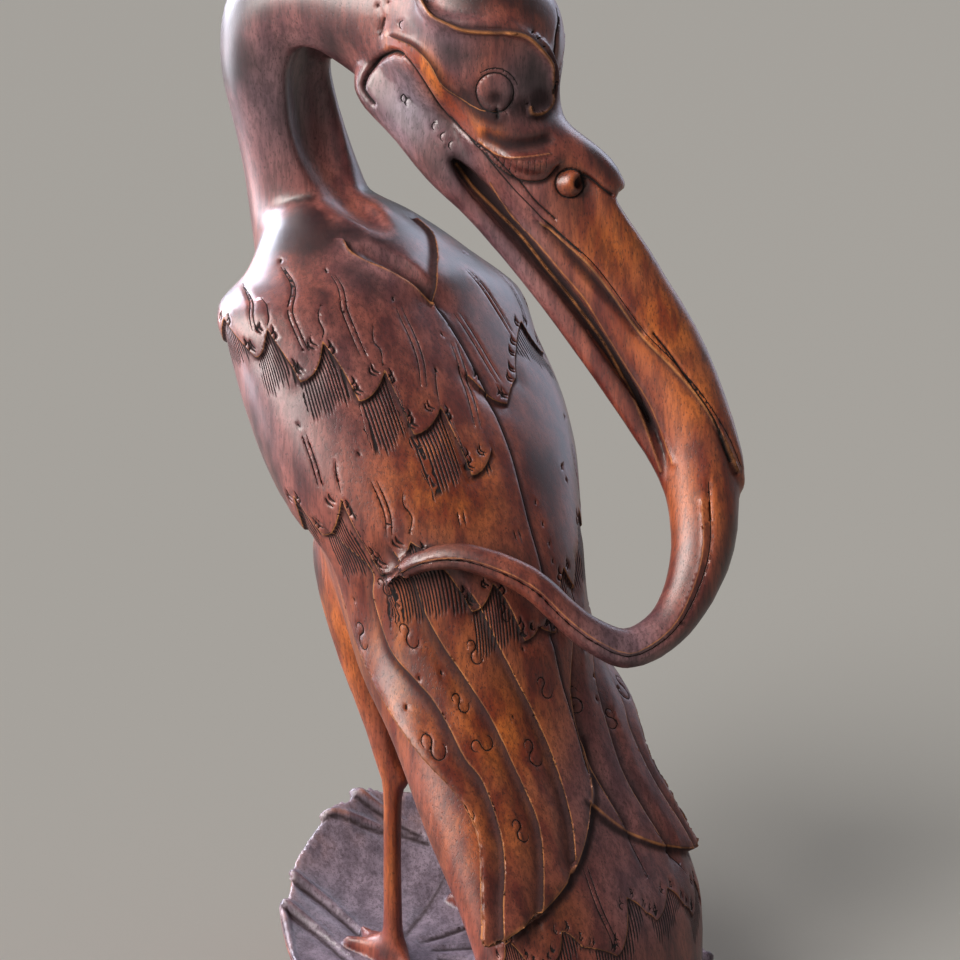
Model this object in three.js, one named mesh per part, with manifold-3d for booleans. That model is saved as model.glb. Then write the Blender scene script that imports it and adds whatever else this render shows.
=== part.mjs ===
// A carved wooden wading bird, cut with its lotus leaf base from one block of wood.
// Millimetres, +Z up. The places below are measured from a point under the bird's
// breast, and the finished form is moved so that its origin is the middle of the underside.
// The bird's back faces right and forward, its head is turned back over it, and its
// long beak sweeps down past the right side and curls round in front of the near wing.
import * as THREE from "three";
import { mergeVertices } from "three/addons/utils/BufferGeometryUtils.js";
import Module from "manifold-3d";

const wasm = await Module();
wasm.setup();

// Directions across the bird's body: towards its left wing, and out of its back.
const LEFTWARD = new THREE.Vector3(-0.77, -0.64, 0);
const BACKWARD = new THREE.Vector3(0.64, -0.77, 0);
const TOWARDS_FRONT = new THREE.Vector3(0, -1, 0);
const UP = new THREE.Vector3(0, 0, 1);

// The closed wings: thickness of the slab at its tip and where it lies on the body,
// and the steps of its feathers.
const WING_THICKNESS = 6;
const WING_ROOT_THICKNESS = 14;
const WING_ROOT_ABOVE = 210;
const WING_FREE_BELOW = 130;
const FEATHER_STEP = 2.2;
const COVERT_STEP = 2.2;
const COVERT_DEPTH = 6;
const COVERT_SPACING = 18;
const UPPER_COVERT_TOP = 400;
const LOWER_COVERT_TOP = 345;
const FAR_WING_TIP_RISE = 11;
const FAR_WING_RISE_BELOW = 220;
const FAR_WING_UNDER = 1.6;
const WING_TIP = 103;

// The leaf under the feet, and the block below it.
const LEAF_CENTRE = new THREE.Vector3(6, -26, 0);
const LEAF_FLOOR = 36;
const LEAF_THICKNESS = 5;
const LEAF_SCALLOP = 0.03;
const LEAF_VEINS = 11;
const BLOCK_RADIUS = 96;

// Torso and tail as level slices: height, middle x and y, half across, half front to back.
const BODY_SLICES = [
  [436, -77, 68, 8, 8], [430, -73, 64, 26, 21], [421, -69, 60, 42, 30],
  [410, -64, 57, 55, 37], [397, -58, 54, 65, 43], [380, -55, 50, 80, 47],
  [356, -46, 40, 85, 53], [332, -37, 31, 86, 57], [308, -29, 21, 83, 60],
  [284, -20, 10, 72, 61], [236, -10, -4, 62, 58],
  [206, -2, -13, 62, 52], [179, 13, -27, 65, 43], [144, 31, -45, 70, 38],
  [102, 51, -69, 71, 32], [75, 57, -81, 68, 27], [26, 62, -92, 58, 20],
];

// The form that the closed wings lie on, in the same slices.
const WING_SLICES = [
  [424, -70, 61, 37, 27], [410, -64, 57, 55, 37], [397, -58, 54, 68, 46],
  [384, -56, 51, 87, 50], [356, -46, 40, 89, 55], [332, -37, 31, 90, 59],
  [308, -29, 21, 87, 63], [284, -22, 10, 79, 64], [265, -16, 3, 71, 64],
  [236, -10, -4, 67, 62], [206, -2, -13, 72, 57], [179, 12, -27, 85, 48],
  [144, 29, -45, 93, 43], [123, 38, -57, 96, 40], [95, 49, -72, 97, 37],
];

// Edges of the long feathers round the body, in degrees from the wing side to the back:
// height, leading edge, three feather edges, and the trailing edge by the backbone.
const FEATHER_EDGES = [
  [412, -24, 10, 40, 70, 85, 100], [384, -33, 8, 36, 64, 78, 93],
  [356, -40, 5, 32, 58, 76, 92], [321, -41, 6, 31, 56, 76, 94],
  [295, -38, 10, 34, 58, 79, 96], [266, -32, 19, 38, 60, 83, 99],
  [240, -26, 20, 42, 65, 91, 104], [225, -9, 24, 48, 71, 95, 107],
  [212, 3, 33, 54, 75, 96, 105], [196, 21, 45, 62, 80, 96, 102],
  [180, 33, 51, 65, 84, 94, 98], [166, 40, 55, 66, 83, 92, 95],
  [150, 45, 56, 67, 81, 88, 90], [127, 43, 53, 66, 74, 76, 78],
  [112, 37, 46, 54, 56, 58, 60], [103, 33, 35, 37, 39, 41, 43],
];

// Pointed lower edges of the two rows of short feathers: degrees round, height.
const UPPER_COVERT_EDGE = [
  [-30, 372], [-12, 384], [0, 362], [5, 380], [14, 361], [25, 378], [31, 354], [46, 370],
  [51, 344], [63, 357], [65, 328], [77, 339], [79, 308], [92, 319],
];
const LOWER_COVERT_EDGE = [
  [-34, 284], [-10, 298], [-5, 276], [22, 297], [25, 264], [44, 286],
  [47, 256], [58, 272], [61, 248], [76, 262], [80, 232], [94, 246],
];

// Neck and back of the head: centre, half width in the bend, half depth.
const NECK_ROWS = [
  [-44, 38, 322, 18, 20], [-60, 54, 352, 34, 36], [-74, 65, 384, 40, 38],
  [-83, 74, 405, 34, 33], [-89, 77, 428, 31, 30], [-95, 76, 454, 28, 28],
  [-101, 72, 480, 27, 27], [-104, 66, 503, 28, 27], [-98, 60, 525, 29, 28],
  [-75, 50, 531, 31, 30], [-48, 38, 527, 35, 33], [-22, 25, 520, 38, 34],
  [-2, 14, 512, 36, 30],
];

// Groove carved up the inner side of the neck, under the arch.
const NECK_GROOVE_ROWS = [
  [-83, 42, 509, 5, 4], [-79, 44, 497, 16, 15], [-77, 46, 480, 19, 20],
  [-74, 47, 462, 19, 20], [-66, 44, 442, 16, 16], [-52, 36, 427, 9, 9],
  [-42, 28, 420, 3, 3],
];

// Upper beak, running on into the curl: centre, half width, half depth.
const BEAK_ROWS = [
  [18, 3, 476, 18, 19], [31, 1, 446, 24, 21],
  [44, -1, 422, 23.5, 19], [56, -3, 405, 22, 17.5], [70, -5, 388, 21, 16.5],
  [83, -8, 370, 20.3, 15.5], [93, -11, 352, 19.5, 15], [102, -15, 335, 19, 14.5],
  [107, -19, 318, 18, 14.5], [109, -25, 297, 18, 14], [109, -34, 273, 16, 13],
  [102, -44, 252, 13, 11.5], [90, -54, 236, 10.6, 10.3], [72, -62, 228, 9.9, 9.5],
  [56, -67, 235, 8.6, 8.6], [41, -70, 247, 7.8, 8], [26, -71, 262, 7.6, 7.5],
  [9, -71, 271, 7.3, 7], [-9, -70, 276, 6.6, 6.3], [-26, -68, 274, 5.9, 5.5],
  [-38, -65, 267, 4.5, 4.4], [-45, -63, 260, 1.9, 2],
];

// Sheath along the outer edge of the beak, from the knob on the nose to its point.
const SHEATH_ROWS = [
  [57, -4, 440, 10, 13], [65, -4, 423, 12.7, 13], [79, -6, 395, 13.2, 12.5],
  [92, -8, 376, 12.2, 12], [104, -10, 358, 9.8, 11], [114, -14, 339, 7.2, 10],
  [123, -18, 321, 4.6, 8], [127, -22, 307, 2.8, 5], [129, -24, 297, 1.2, 2],
];

// Lower beak, from its rounded root plate at the cheek to its thin end.
const LOWER_BEAK_ROWS = [
  [-49, 26, 500, 7, 14], [-44, 24, 489, 14, 19], [-31, 19, 476, 15.5, 20],
  [-18, 13, 457, 13, 19], [-2, 8, 438, 10.5, 17], [14, 4, 419, 9.2, 15],
  [32, 0, 396, 8.2, 13.5], [51, -5, 370, 7.6, 12.5], [68, -11, 345, 6.8, 11],
  [80, -15, 325, 5.4, 9], [89, -20, 307, 3.2, 6], [94, -25, 293, 2.2, 4],
];

// The dark mouth line cut between the two halves of the beak, on each side.
const MOUTH_ROWS = [
  [-13, 457, 1], [-6, 449, 3.6], [4, 438, 4], [22, 417, 3.6], [44, 391, 3.2],
  [62, 366, 2.6], [76, 344, 1.6], [83, 330, 0.8],
];
const MOUTH_HALF_THICKNESS = 7;

// Head: centre of the ball of the crown, and the face that runs down into the beak.
const CROWN = new THREE.Vector3(-3, 13, 513);
const FACE_ROWS = [
  [7, 11, 502, 31, 33], [11, 7, 483, 28, 30], [17, 4, 465, 26, 27], [28, 2, 450, 24, 23],
];

// Relief on each side of the head: x, distance out from its middle, z, two half sizes.
const HEAD_MIDDLE_Y = 12;
const HEAD_LEANS_BELOW = 505;
const HEAD_LEAN = 0.2;
const BROW_ROWS = [
  [-32, 26, 536, 2, 2], [-20, 32, 524, 4, 4], [-6, 34, 521, 4.5, 4], [12, 32, 520, 4.5, 4],
  [27, 26, 512, 4.5, 5], [34, 19, 499, 4, 5], [34, 15, 488, 3, 4],
];
const NOSE_ROWS = [
  [34, -2, 463, 13, 14], [48, -3, 455, 12.5, 13], [58, -4, 448, 10.5, 11], [65, -5, 443, 6, 7],
  [68, -5, 441, 2, 3],
];
const LIP_ROWS = [[6, 22, 467, 2, 4], [19, 24, 458, 4, 5], [30, 22, 456, 4, 5], [38, 17, 459, 2, 4]];
const EYE = [8, 27, 489, 10, 8];
const NOSTRIL = [44, 15, 447];
const NOSTRIL_RADIUS = 6.5;

// Hollow scooped out between the shoulders.
const NAPE_SCOOP_ROWS = [
  [-66, 17, 418, 2, 2], [-54, 18, 413, 7, 5], [-40, 18, 406, 8, 5.5], [-29, 16, 396, 5, 4],
  [-22, 14, 387, 1, 1.5],
];

// Legs: the near thigh and shank, and how far the far leg stands from it.
const LEG_ROWS = [
  [-46, 18, 304, 10, 14], [-62, 24, 282, 16, 22], [-69, 21, 256, 17, 24],
  [-66, 14, 226, 14, 20], [-59, 8, 196, 11, 14], [-52, 4, 170, 8.5, 9.5],
  [-46, 1, 146, 7, 8], [-44, 0, 139, 6.8, 7.6], [-45, 0, 130, 5, 6.4],
  [-45.5, 0, 90, 4.7, 6.2], [-45.5, 0, 56, 5.2, 6.6], [-46, 0, 33, 6.5, 7.5],
];
const HOCK_ROW = 7;
const FAR_LEG_OFFSET = new THREE.Vector3(54, 44, 0);
const FAR_LEG_TILT = new THREE.Vector3(-18, -14, 0);
const TOE_LENGTH = 26;
const TOE_RADIUS = 4.6;
const TOE_TURNS = [-32, 0, 32, 180];

// Rim of the leaf, cupped up behind and to the left: degrees round, radius, height.
const RIM_ROWS = [
  [0, 112, 44], [30, 112, 56], [60, 116, 74], [90, 124, 92], [112, 131, 99], [124, 134, 97],
  [134, 132, 86], [146, 126, 72], [158, 120, 57], [169, 107, 46], [190, 101, 40],
  [215, 103, 37], [240, 108, 35], [270, 114, 35], [300, 118, 36], [330, 116, 38], [360, 112, 44],
];

const WOOD = new THREE.MeshStandardMaterial({ color: 0x6e3a22, roughness: 0.42, metalness: 0 });

function smooth(rows) {
  const places = new THREE.CatmullRomCurve3(
    rows.map((row) => new THREE.Vector3(row[0], row[1], row[2])), false, "catmullrom", 0.5);
  const sizes = new THREE.CatmullRomCurve3(
    rows.map((row) => new THREE.Vector3(row[3], row[4], 0)), false, "catmullrom", 0.5);
  return { places, sizes };
}

// Values of a table where its first column has a value, straight between its rows.
function valuesAt(rows, place) {
  const falling = rows[0][0] > rows[1][0] ? -1 : 1;
  let row = 0;
  while (row < rows.length - 2 && rows[row + 1][0] * falling < place * falling) row += 1;
  const share = THREE.MathUtils.clamp((place - rows[row][0]) / (rows[row + 1][0] - rows[row][0]), 0, 1);
  return rows[row].slice(1).map((value, k) => value + (rows[row + 1][k + 1] - value) * share);
}

// Closes a row of equal rings, with a fan over each end, into one triangle mesh.
function skin(rings) {
  const around = rings[0].length;
  const points = rings.flat();
  const faces = [];
  for (let ring = 0; ring < rings.length - 1; ring += 1) {
    for (let side = 0; side < around; side += 1) {
      const a = ring * around + side;
      const b = ring * around + (side + 1) % around;
      faces.push(a, b, b + around, a, b + around, a + around);
    }
  }
  for (const [ring, flip] of [[0, true], [rings.length - 1, false]]) {
    const middle = new THREE.Vector3();
    rings[ring].forEach((point) => middle.addScaledVector(point, 1 / around));
    points.push(middle);
    for (let side = 0; side < around; side += 1) {
      const a = ring * around + side;
      const b = ring * around + (side + 1) % around;
      faces.push(points.length - 1, flip ? b : a, flip ? a : b);
    }
  }
  const geometry = new THREE.BufferGeometry().setFromPoints(points);
  geometry.setIndex(faces);
  return geometry;
}

// A tapering round form along a smooth path. side is the direction that its depth leans to.
function limb(rows, side, steps, around) {
  const { places, sizes } = smooth(rows);
  const rings = [];
  for (let step = 0; step <= steps; step += 1) {
    const along = places.getTangent(step / steps);
    const deep = side.clone().addScaledVector(along, -side.dot(along)).normalize();
    const wide = new THREE.Vector3().crossVectors(along, deep);
    const centre = places.getPoint(step / steps);
    const size = sizes.getPoint(step / steps);
    rings.push(ringOf(around, (turn) => centre.clone()
      .addScaledVector(wide, Math.cos(turn) * Math.max(size.x, 0.4))
      .addScaledVector(deep, Math.sin(turn) * Math.max(size.y, 0.4))));
  }
  return skin(rings);
}

function ringOf(around, place) {
  const ring = [];
  for (let side = 0; side < around; side += 1) ring.push(place(side / around * Math.PI * 2));
  return ring;
}

// A point of a sliced form: height, turn in degrees from the wing side, and how far out.
function onForm(slices, height, degrees, out) {
  const [x, y, across, through] = valuesAt(slices, height);
  const turn = THREE.MathUtils.degToRad(degrees);
  return new THREE.Vector3(x, y, height)
    .addScaledVector(LEFTWARD, Math.cos(turn) * (across + out))
    .addScaledVector(BACKWARD, Math.sin(turn) * (through + out));
}

function solid(geometry) {
  const bare = geometry.clone();
  bare.deleteAttribute("normal");
  bare.deleteAttribute("uv");
  const merged = mergeVertices(bare, 1e-4);
  const vertProperties = new Float32Array(merged.attributes.position.array);
  const faces = new Uint32Array(merged.index.array);
  const form = new wasm.Manifold(new wasm.Mesh({ numProp: 3, vertProperties, triVerts: faces }));
  if (form.volume() > 0) return form;
  const turned = faces.map((_, k) => faces[k - k % 3 + (3 - k % 3) % 3]);
  return new wasm.Manifold(new wasm.Mesh({ numProp: 3, vertProperties, triVerts: turned }));
}

function torsoAndTail() {
  const rings = BODY_SLICES.map(([height]) => ringOf(18, (turn) =>
    onForm(BODY_SLICES, height, THREE.MathUtils.radToDeg(turn), 0)));
  return [skin(rings)];
}

// The far wing is the near one turned over, its tip a little higher and its edge tucked under.
function wingPoint(far, height, degrees, out) {
  const below = Math.max(0, FAR_WING_RISE_BELOW - height) / (FAR_WING_RISE_BELOW - WING_TIP);
  const rise = far ? below * FAR_WING_TIP_RISE : 0;
  const under = far ? FAR_WING_UNDER : 0;
  return onForm(WING_SLICES, height + rise, far ? 180 - degrees : degrees, out - under);
}

// The slab of a wing, its long feathers lapping like roof boards towards the backbone.
function longFeathers(far) {
  const rings = FEATHER_EDGES.map(([height, ...edges]) => {
    const step = FEATHER_STEP * THREE.MathUtils.smoothstep(-height, -300, -262);
    const outer = [];
    for (let feather = 0; feather < edges.length - 1; feather += 1) {
      const gap = edges[feather + 1] - edges[feather];
      outer.push([edges[feather] + gap * 0.04, 0.3 + step], [edges[feather] + gap * 0.5, 0.2 + step * 0.7],
        [edges[feather] + gap * 0.96, 0]);
    }
    const root = THREE.MathUtils.smoothstep(height, WING_FREE_BELOW, WING_ROOT_ABOVE);
    const thickness = THREE.MathUtils.lerp(WING_THICKNESS, WING_ROOT_THICKNESS, root);
    const inner = [edges[edges.length - 1], edges[3], edges[1], edges[0]]
      .map((degrees) => [degrees, -thickness]);
    return [...outer, ...inner].map(([degrees, out]) => wingPoint(far, height, degrees, out));
  });
  return skin(rings);
}

// The pointed edge with more places along it, so that the row of feathers hugs the wing.
function finer(edge) {
  const places = [edge[0]];
  for (let k = 1; k < edge.length; k += 1) {
    const [from, to] = [edge[k - 1], edge[k]];
    const parts = Math.ceil(Math.abs(to[0] - from[0]) / COVERT_SPACING);
    for (let part = 1; part <= parts; part += 1) {
      places.push([from[0] + (to[0] - from[0]) * part / parts, from[1] + (to[1] - from[1]) * part / parts]);
    }
  }
  return places;
}

// A row of short feathers, standing proud down to a pointed edge.
function coverts(far, edge, top, proud) {
  const rings = finer(edge).map(([degrees, low]) => {
    const heights = [0, 0.35, 1].map((share) => top + (low - top) * share);
    const outer = heights.map((height, k) => [height, k === 0 ? -1 : proud]);
    const inner = heights.map((height) => [height, -COVERT_DEPTH]).reverse();
    return [...outer, ...inner].map(([height, out]) => wingPoint(far, height, degrees, out));
  });
  return skin(rings);
}

function wing(far) {
  return [
    longFeathers(far),
    coverts(far, LOWER_COVERT_EDGE, LOWER_COVERT_TOP, COVERT_STEP),
    coverts(far, UPPER_COVERT_EDGE, UPPER_COVERT_TOP, COVERT_STEP * 2),
  ];
}

function ball(centre, halfX, halfY, halfZ, around) {
  return new THREE.SphereGeometry(1, around, Math.ceil(around * 0.6)).scale(halfX, halfY, halfZ)
    .translate(centre.x, centre.y, centre.z);
}

// The head leans forward below the crown, so its middle moves with the height.
function headMiddle(height) {
  return HEAD_MIDDLE_Y - Math.max(0, HEAD_LEANS_BELOW - height) * HEAD_LEAN;
}

// The crown, face, brow, eye, lip and nose, carved the same on both sides of the head.
function head() {
  const forms = [
    limb(NECK_ROWS, TOWARDS_FRONT, 20, 14),
    ball(CROWN, 44, 36, 43, 14),
    limb(FACE_ROWS, TOWARDS_FRONT, 5, 12),
    limb(NOSE_ROWS, TOWARDS_FRONT, 5, 8),
  ];
  for (const side of [-1, 1]) {
    const onSide = ([x, out, z, ...sizes]) => [x, headMiddle(z) + side * out, z, ...sizes];
    const [x, y, z, wide, deep] = onSide(EYE);
    forms.push(
      limb(BROW_ROWS.map(onSide), TOWARDS_FRONT, 8, 5),
      ball(new THREE.Vector3(x, y, z), wide, deep, wide, 8),
      limb(LIP_ROWS.map(onSide), TOWARDS_FRONT, 4, 5),
      new THREE.CylinderGeometry(NOSTRIL_RADIUS, NOSTRIL_RADIUS, NOSTRIL_RADIUS * 2, 8)
        .translate(...onSide(NOSTRIL)),
    );
  }
  return forms;
}

function beak() {
  return [
    limb(BEAK_ROWS, TOWARDS_FRONT, 30, 10),
    limb(SHEATH_ROWS, TOWARDS_FRONT, 10, 8),
    limb(LOWER_BEAK_ROWS, TOWARDS_FRONT, 14, 10),
  ];
}

function mouthCuts() {
  return [-1, 1].map((side) => {
    const rows = MOUTH_ROWS.map(([x, z, half]) => {
      const middle = HEAD_MIDDLE_Y - Math.max(0, x + 10) * 0.24;
      return [x, middle + side * (16 - x * 0.08), z, half, MOUTH_HALF_THICKNESS];
    });
    return limb(rows, TOWARDS_FRONT, 7, 4);
  });
}

// Rises from the foot along a direction, over the dish of the leaf.
function toe(foot, turn) {
  const away = BACKWARD.clone().negate().applyAxisAngle(UP, THREE.MathUtils.degToRad(turn));
  const reach = turn === 180 ? TOE_LENGTH * 0.6 : TOE_LENGTH;
  const rows = [0, 0.35, 0.7, 1].map((share) => {
    const x = foot.x + away.x * reach * share;
    const y = foot.y + away.y * reach * share;
    return [x, y, LEAF_FLOOR + 6 - share * 3 + rimLift(x, y),
      TOE_RADIUS * (1.1 - share * 0.6), TOE_RADIUS * (1.2 - share * 0.5)];
  });
  return limb(rows, UP, 3, 4);
}

function leg(far) {
  const rows = LEG_ROWS.map(([x, y, z, wide, deep], k) => {
    const place = new THREE.Vector3(x, y, z);
    if (far) place.add(FAR_LEG_OFFSET).addScaledVector(FAR_LEG_TILT, Math.max(0, 1 - k / HOCK_ROW));
    return [place.x, place.y, place.z, wide, deep];
  });
  const place = ([x, y, z]) => new THREE.Vector3(x, y, z);
  const spur = ball(place(rows[HOCK_ROW]).add(new THREE.Vector3(4, -2, 2)), 4.5, 5.5, 5.5, 8);
  const foot = place(rows[rows.length - 1]);
  return [limb(rows, TOWARDS_FRONT, 14, 8), spur, ...TOE_TURNS.map((turn) => toe(foot, turn))];
}

function rim(turn) {
  const degrees = (THREE.MathUtils.radToDeg(turn) + 720) % 360;
  const [radius, height] = valuesAt(RIM_ROWS, degrees);
  return { radius: radius * (1 + LEAF_SCALLOP * Math.abs(Math.sin(turn * 4.5))), height };
}

// How far the dish of the leaf has risen at a place, over its middle.
function rimLift(x, y) {
  const { radius, height } = rim(Math.atan2(y - LEAF_CENTRE.y, x - LEAF_CENTRE.x));
  const share = Math.hypot(x - LEAF_CENTRE.x, y - LEAF_CENTRE.y) / radius;
  return (height - LEAF_FLOOR) * Math.pow(Math.min(share, 1), 3.2);
}

// A lotus leaf, its rim thin and scalloped, on a low round block.
function leafBase() {
  const around = 36;
  const level = (radius, height) => ringOf(around, (turn) => new THREE.Vector3(
    LEAF_CENTRE.x + Math.cos(turn) * radius(turn),
    LEAF_CENTRE.y + Math.sin(turn) * radius(turn),
    height(turn)));
  const dish = (share) => ringOf(around, (turn) => {
    const x = LEAF_CENTRE.x + Math.cos(turn) * rim(turn).radius * share;
    const y = LEAF_CENTRE.y + Math.sin(turn) * rim(turn).radius * share;
    const vein = 1.6 * share * Math.max(0, Math.cos(turn * LEAF_VEINS));
    return new THREE.Vector3(x, y, LEAF_FLOOR + rimLift(x, y) + vein);
  });
  return [skin([
    level(() => BLOCK_RADIUS, () => 0), level(() => BLOCK_RADIUS, () => 16),
    level(() => BLOCK_RADIUS - 4, () => 22),
    level((turn) => rim(turn).radius * 0.985, (turn) => rim(turn).height - LEAF_THICKNESS),
    dish(1), dish(0.85), dish(0.6), dish(0.25),
  ])];
}

function joined(forms) {
  return forms.map(solid).reduce((whole, form) => whole.add(form));
}

function carvedBird() {
  const headAndNeck = joined(head()).subtract(solid(limb(NECK_GROOVE_ROWS, TOWARDS_FRONT, 8, 8)));
  const beakAndMouth = joined(beak()).subtract(joined(mouthCuts()));
  const body = joined([...torsoAndTail(), ...wing(false), ...wing(true)])
    .subtract(solid(limb(NAPE_SCOOP_ROWS, TOWARDS_FRONT, 6, 6)));
  const stand = joined([...leg(false), ...leg(true), ...leafBase()]);
  const whole = body.add(headAndNeck).add(beakAndMouth).add(stand).getMesh();
  const geometry = new THREE.BufferGeometry();
  geometry.setAttribute("position", new THREE.BufferAttribute(new Float32Array(whole.vertProperties), 3));
  geometry.setIndex(new THREE.BufferAttribute(new Uint32Array(whole.triVerts), 1));
  geometry.computeVertexNormals();
  const mesh = new THREE.Mesh(geometry, WOOD);
  mesh.name = "carved_bird";
  mesh.position.copy(LEAF_CENTRE).negate();
  return mesh;
}

const bird = new THREE.Group();
bird.add(carvedBird());

export default bird;
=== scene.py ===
"""A wooden wading bird on a lotus leaf, carved from one block and stained dark red-brown.

It is made the way a carver works. The rough forms are joined in a block, the block
becomes one skin, the skin is made finer wherever a tool will cut, and then every
ridge, ledge and fine line is carved into it. Lengths are millimetres from a point on
the table under the breast, until carved_bird() moves them to the frame's metres.
"""
import math

import bpy
import numpy as np
import openvdb
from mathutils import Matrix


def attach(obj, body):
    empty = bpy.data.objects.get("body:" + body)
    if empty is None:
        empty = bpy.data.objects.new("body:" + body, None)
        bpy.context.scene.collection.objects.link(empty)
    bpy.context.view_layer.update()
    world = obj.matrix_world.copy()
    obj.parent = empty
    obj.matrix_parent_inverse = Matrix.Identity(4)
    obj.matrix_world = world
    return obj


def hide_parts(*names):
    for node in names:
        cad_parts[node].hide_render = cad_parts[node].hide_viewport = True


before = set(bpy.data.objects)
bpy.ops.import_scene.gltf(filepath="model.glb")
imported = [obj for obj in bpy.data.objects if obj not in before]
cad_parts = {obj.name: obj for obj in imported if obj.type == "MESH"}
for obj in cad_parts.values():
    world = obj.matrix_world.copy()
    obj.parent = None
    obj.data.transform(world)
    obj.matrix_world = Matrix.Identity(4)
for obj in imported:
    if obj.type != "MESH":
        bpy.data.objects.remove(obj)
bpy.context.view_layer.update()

MM = 0.001
PIECE = "carved_bird_finished"

# The middle of the base's underside, where the frame has its origin.
BASE_MIDDLE = np.array((6.0, -26.0, 0.0))

# Directions: across the body towards the wing that the front shows, out of its back, towards
# the front, and up.
LEFTWARD = np.array((-0.77, -0.64, 0.0))
BACKWARD = np.array((0.64, -0.77, 0.0))
TO_FRONT = np.array((0.0, -1.0, 0.0))
UPWARD = np.array((0.0, 0.0, 1.0))

# The block that is carved: two corners, the size of its cells, and the farthest distance in them.
BLOCK_LOW = (-146.0, -154.0, -6.0)
BLOCK_HIGH = (140.0, 128.0, 572.0)
CELL = 1.4
FAR = 9.0

# How finely the skin is divided. First comes the share of triangles kept before any carving.
# Then come the longest side of a triangle on plain ground, where the form bends and under fine
# strokes, and how much longer it may be for each millimetre away from a line.
SHARE_KEPT = 0.045
COARSE = 8.0
FINE_BEND = 2.2
BRUSH_FINE = 2.8
FINE_SPREAD = 1.8
REFINE_ROUNDS = 9

# The most triangles, and those kept back for sides that are split where they cross a line.
MOST_TRIANGLES = 197000
CROSSING_ROOM = 22000

# A side is halved when it is this many times too long, and a line splits no side closer than
# this to its end.
TOO_LONG = 1.45
LEAST_PART = 0.18

# Points nearer to a line than this share of a triangle's side are moved on to it.
DRAWN_WITHIN = 0.34

# Widths over which ridges are told from hollows: a narrow one and a broad one.
CLOSE = 2.8
BROAD = 14.0

# Marks count widths of the tool up to this, and a line works skin no deeper than this below it.
CLEAR = 4.0
DEEPEST = 9.0

# Torso and tail as level slices: height, middle x and y, half across, half through.
BODY_SLICES = [
    (436, -77, 68, 8, 8), (430, -73, 64, 26, 21), (421, -69, 60, 42, 30),
    (410, -64, 57, 55, 37), (397, -58, 54, 65, 43), (380, -55, 50, 80, 47),
    (356, -46, 40, 85, 53), (332, -37, 31, 86, 57), (308, -29, 21, 83, 60),
    (284, -20, 10, 72, 61), (236, -10, -4, 62, 58), (206, -2, -13, 62, 52),
    (179, 13, -27, 65, 43), (144, 31, -45, 70, 38), (102, 51, -69, 71, 32),
    (75, 57, -81, 68, 27), (26, 62, -92, 58, 20),
]

# The form that the closed wings lie on, in the same slices.
WING_SLICES = [
    (424, -70, 61, 37, 27), (410, -64, 57, 55, 37), (397, -58, 54, 68, 46),
    (384, -56, 51, 87, 50), (356, -46, 40, 89, 55), (332, -37, 31, 90, 59),
    (308, -29, 21, 87, 63), (284, -22, 10, 79, 64), (265, -16, 3, 71, 64),
    (236, -10, -4, 67, 62), (206, -2, -13, 72, 57), (179, 12, -27, 85, 48),
    (144, 29, -45, 93, 43), (123, 38, -57, 96, 40), (95, 49, -72, 97, 37),
]

# Leading and trailing edge of a closed wing: height, degrees round from the wing side.
WING_LEAD = [
    (424, -24), (384, -33), (356, -40), (321, -38), (295, -24), (273, -9), (253, -7), (232, -5),
    (214, 4), (197, 17), (183, 29), (169, 40), (152, 45), (132, 42), (112, 37), (101, 33),
]
WING_TRAIL = [
    (424, 100), (384, 94), (356, 94), (321, 95), (266, 99), (233, 100), (205, 101), (180, 98),
    (160, 94), (147, 89), (131, 80), (120, 70), (112, 59), (105, 45), (101, 35),
]
WING_TIP = 103
WING_THICKNESS = 6
WING_ROOT_THICKNESS = 14
WING_FREE_BELOW = 130
WING_ROOT_ABOVE = 210
WING_ROOT_SINKS = 7
WING_ROOT_SINKS_OVER = (402, 424)
WING_TOP = 426
WING_EDGE_SLOPE = 0.8

# The far wing lies a little lower on the back, and its tip ends a little higher.
FAR_WING_TIP_RISE = 11
FAR_WING_RISE_BELOW = 220
FAR_WING_UNDER = 1.6
FAR_WING_UNDER_ENDS = (150, 250)

# Where the leading and trailing edges stand free and get a bead, by the row that it starts at.
LEAD_BEAD_FROM = 6
TRAIL_BEAD_FROM = 7
FAR_TRAIL_BEAD_FROM = 9

# Edges between the long feathers, and the pointed edges of the two rows of coverts, by height
# and degrees round. The lists after them are places on the wings in the same way.
FEATHER_EDGES = [
    [(282, 12), (266, 21), (251, 17), (229, 20), (216, 31), (208, 38), (195, 45), (182, 50),
     (171, 55), (151, 56), (135, 54), (120, 50), (107, 47)],
    [(276, 37), (262, 39), (247, 40), (232, 45), (217, 53), (198, 62), (180, 67), (155, 70),
     (136, 68), (114, 63)],
    [(256, 61), (248, 64), (233, 68), (216, 74), (197, 80), (176, 83), (152, 82), (133, 79)],
]
UPPER_COVERTS = [
    (384, -38), (366, -24), (380, -4), (363, 12), (377, 25), (353, 30), (371, 46), (344, 50),
    (357, 63), (328, 64), (339, 77), (308, 78), (317, 88),
]
LOWER_COVERTS = [
    (292, -30), (276, -16), (298, 0), (279, 4), (300, 27), (264, 25), (281, 46), (247, 60),
    (260, 71), (231, 81), (235, 89),
]
FAR_UPPER_COVERTS = [
    (384, -38), (366, -24), (380, -4), (363, 12), (378, 25), (350, 33), (368, 47), (356, 60),
    (345, 67), (335, 77), (350, 88),
]
BACKBONE = [
    (384, 91), (371, 94), (350, 96), (319, 96), (300, 95), (270, 95), (233, 96), (197, 97), (166, 95),
]
SCOOP_LIP = [(414, 58), (410, 60), (405, 67), (401, 74), (393, 84), (384, 91)]
SCOOP_FOLD = [(420, 134), (414, 128), (406, 112), (398, 99), (384, 91)]
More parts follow.
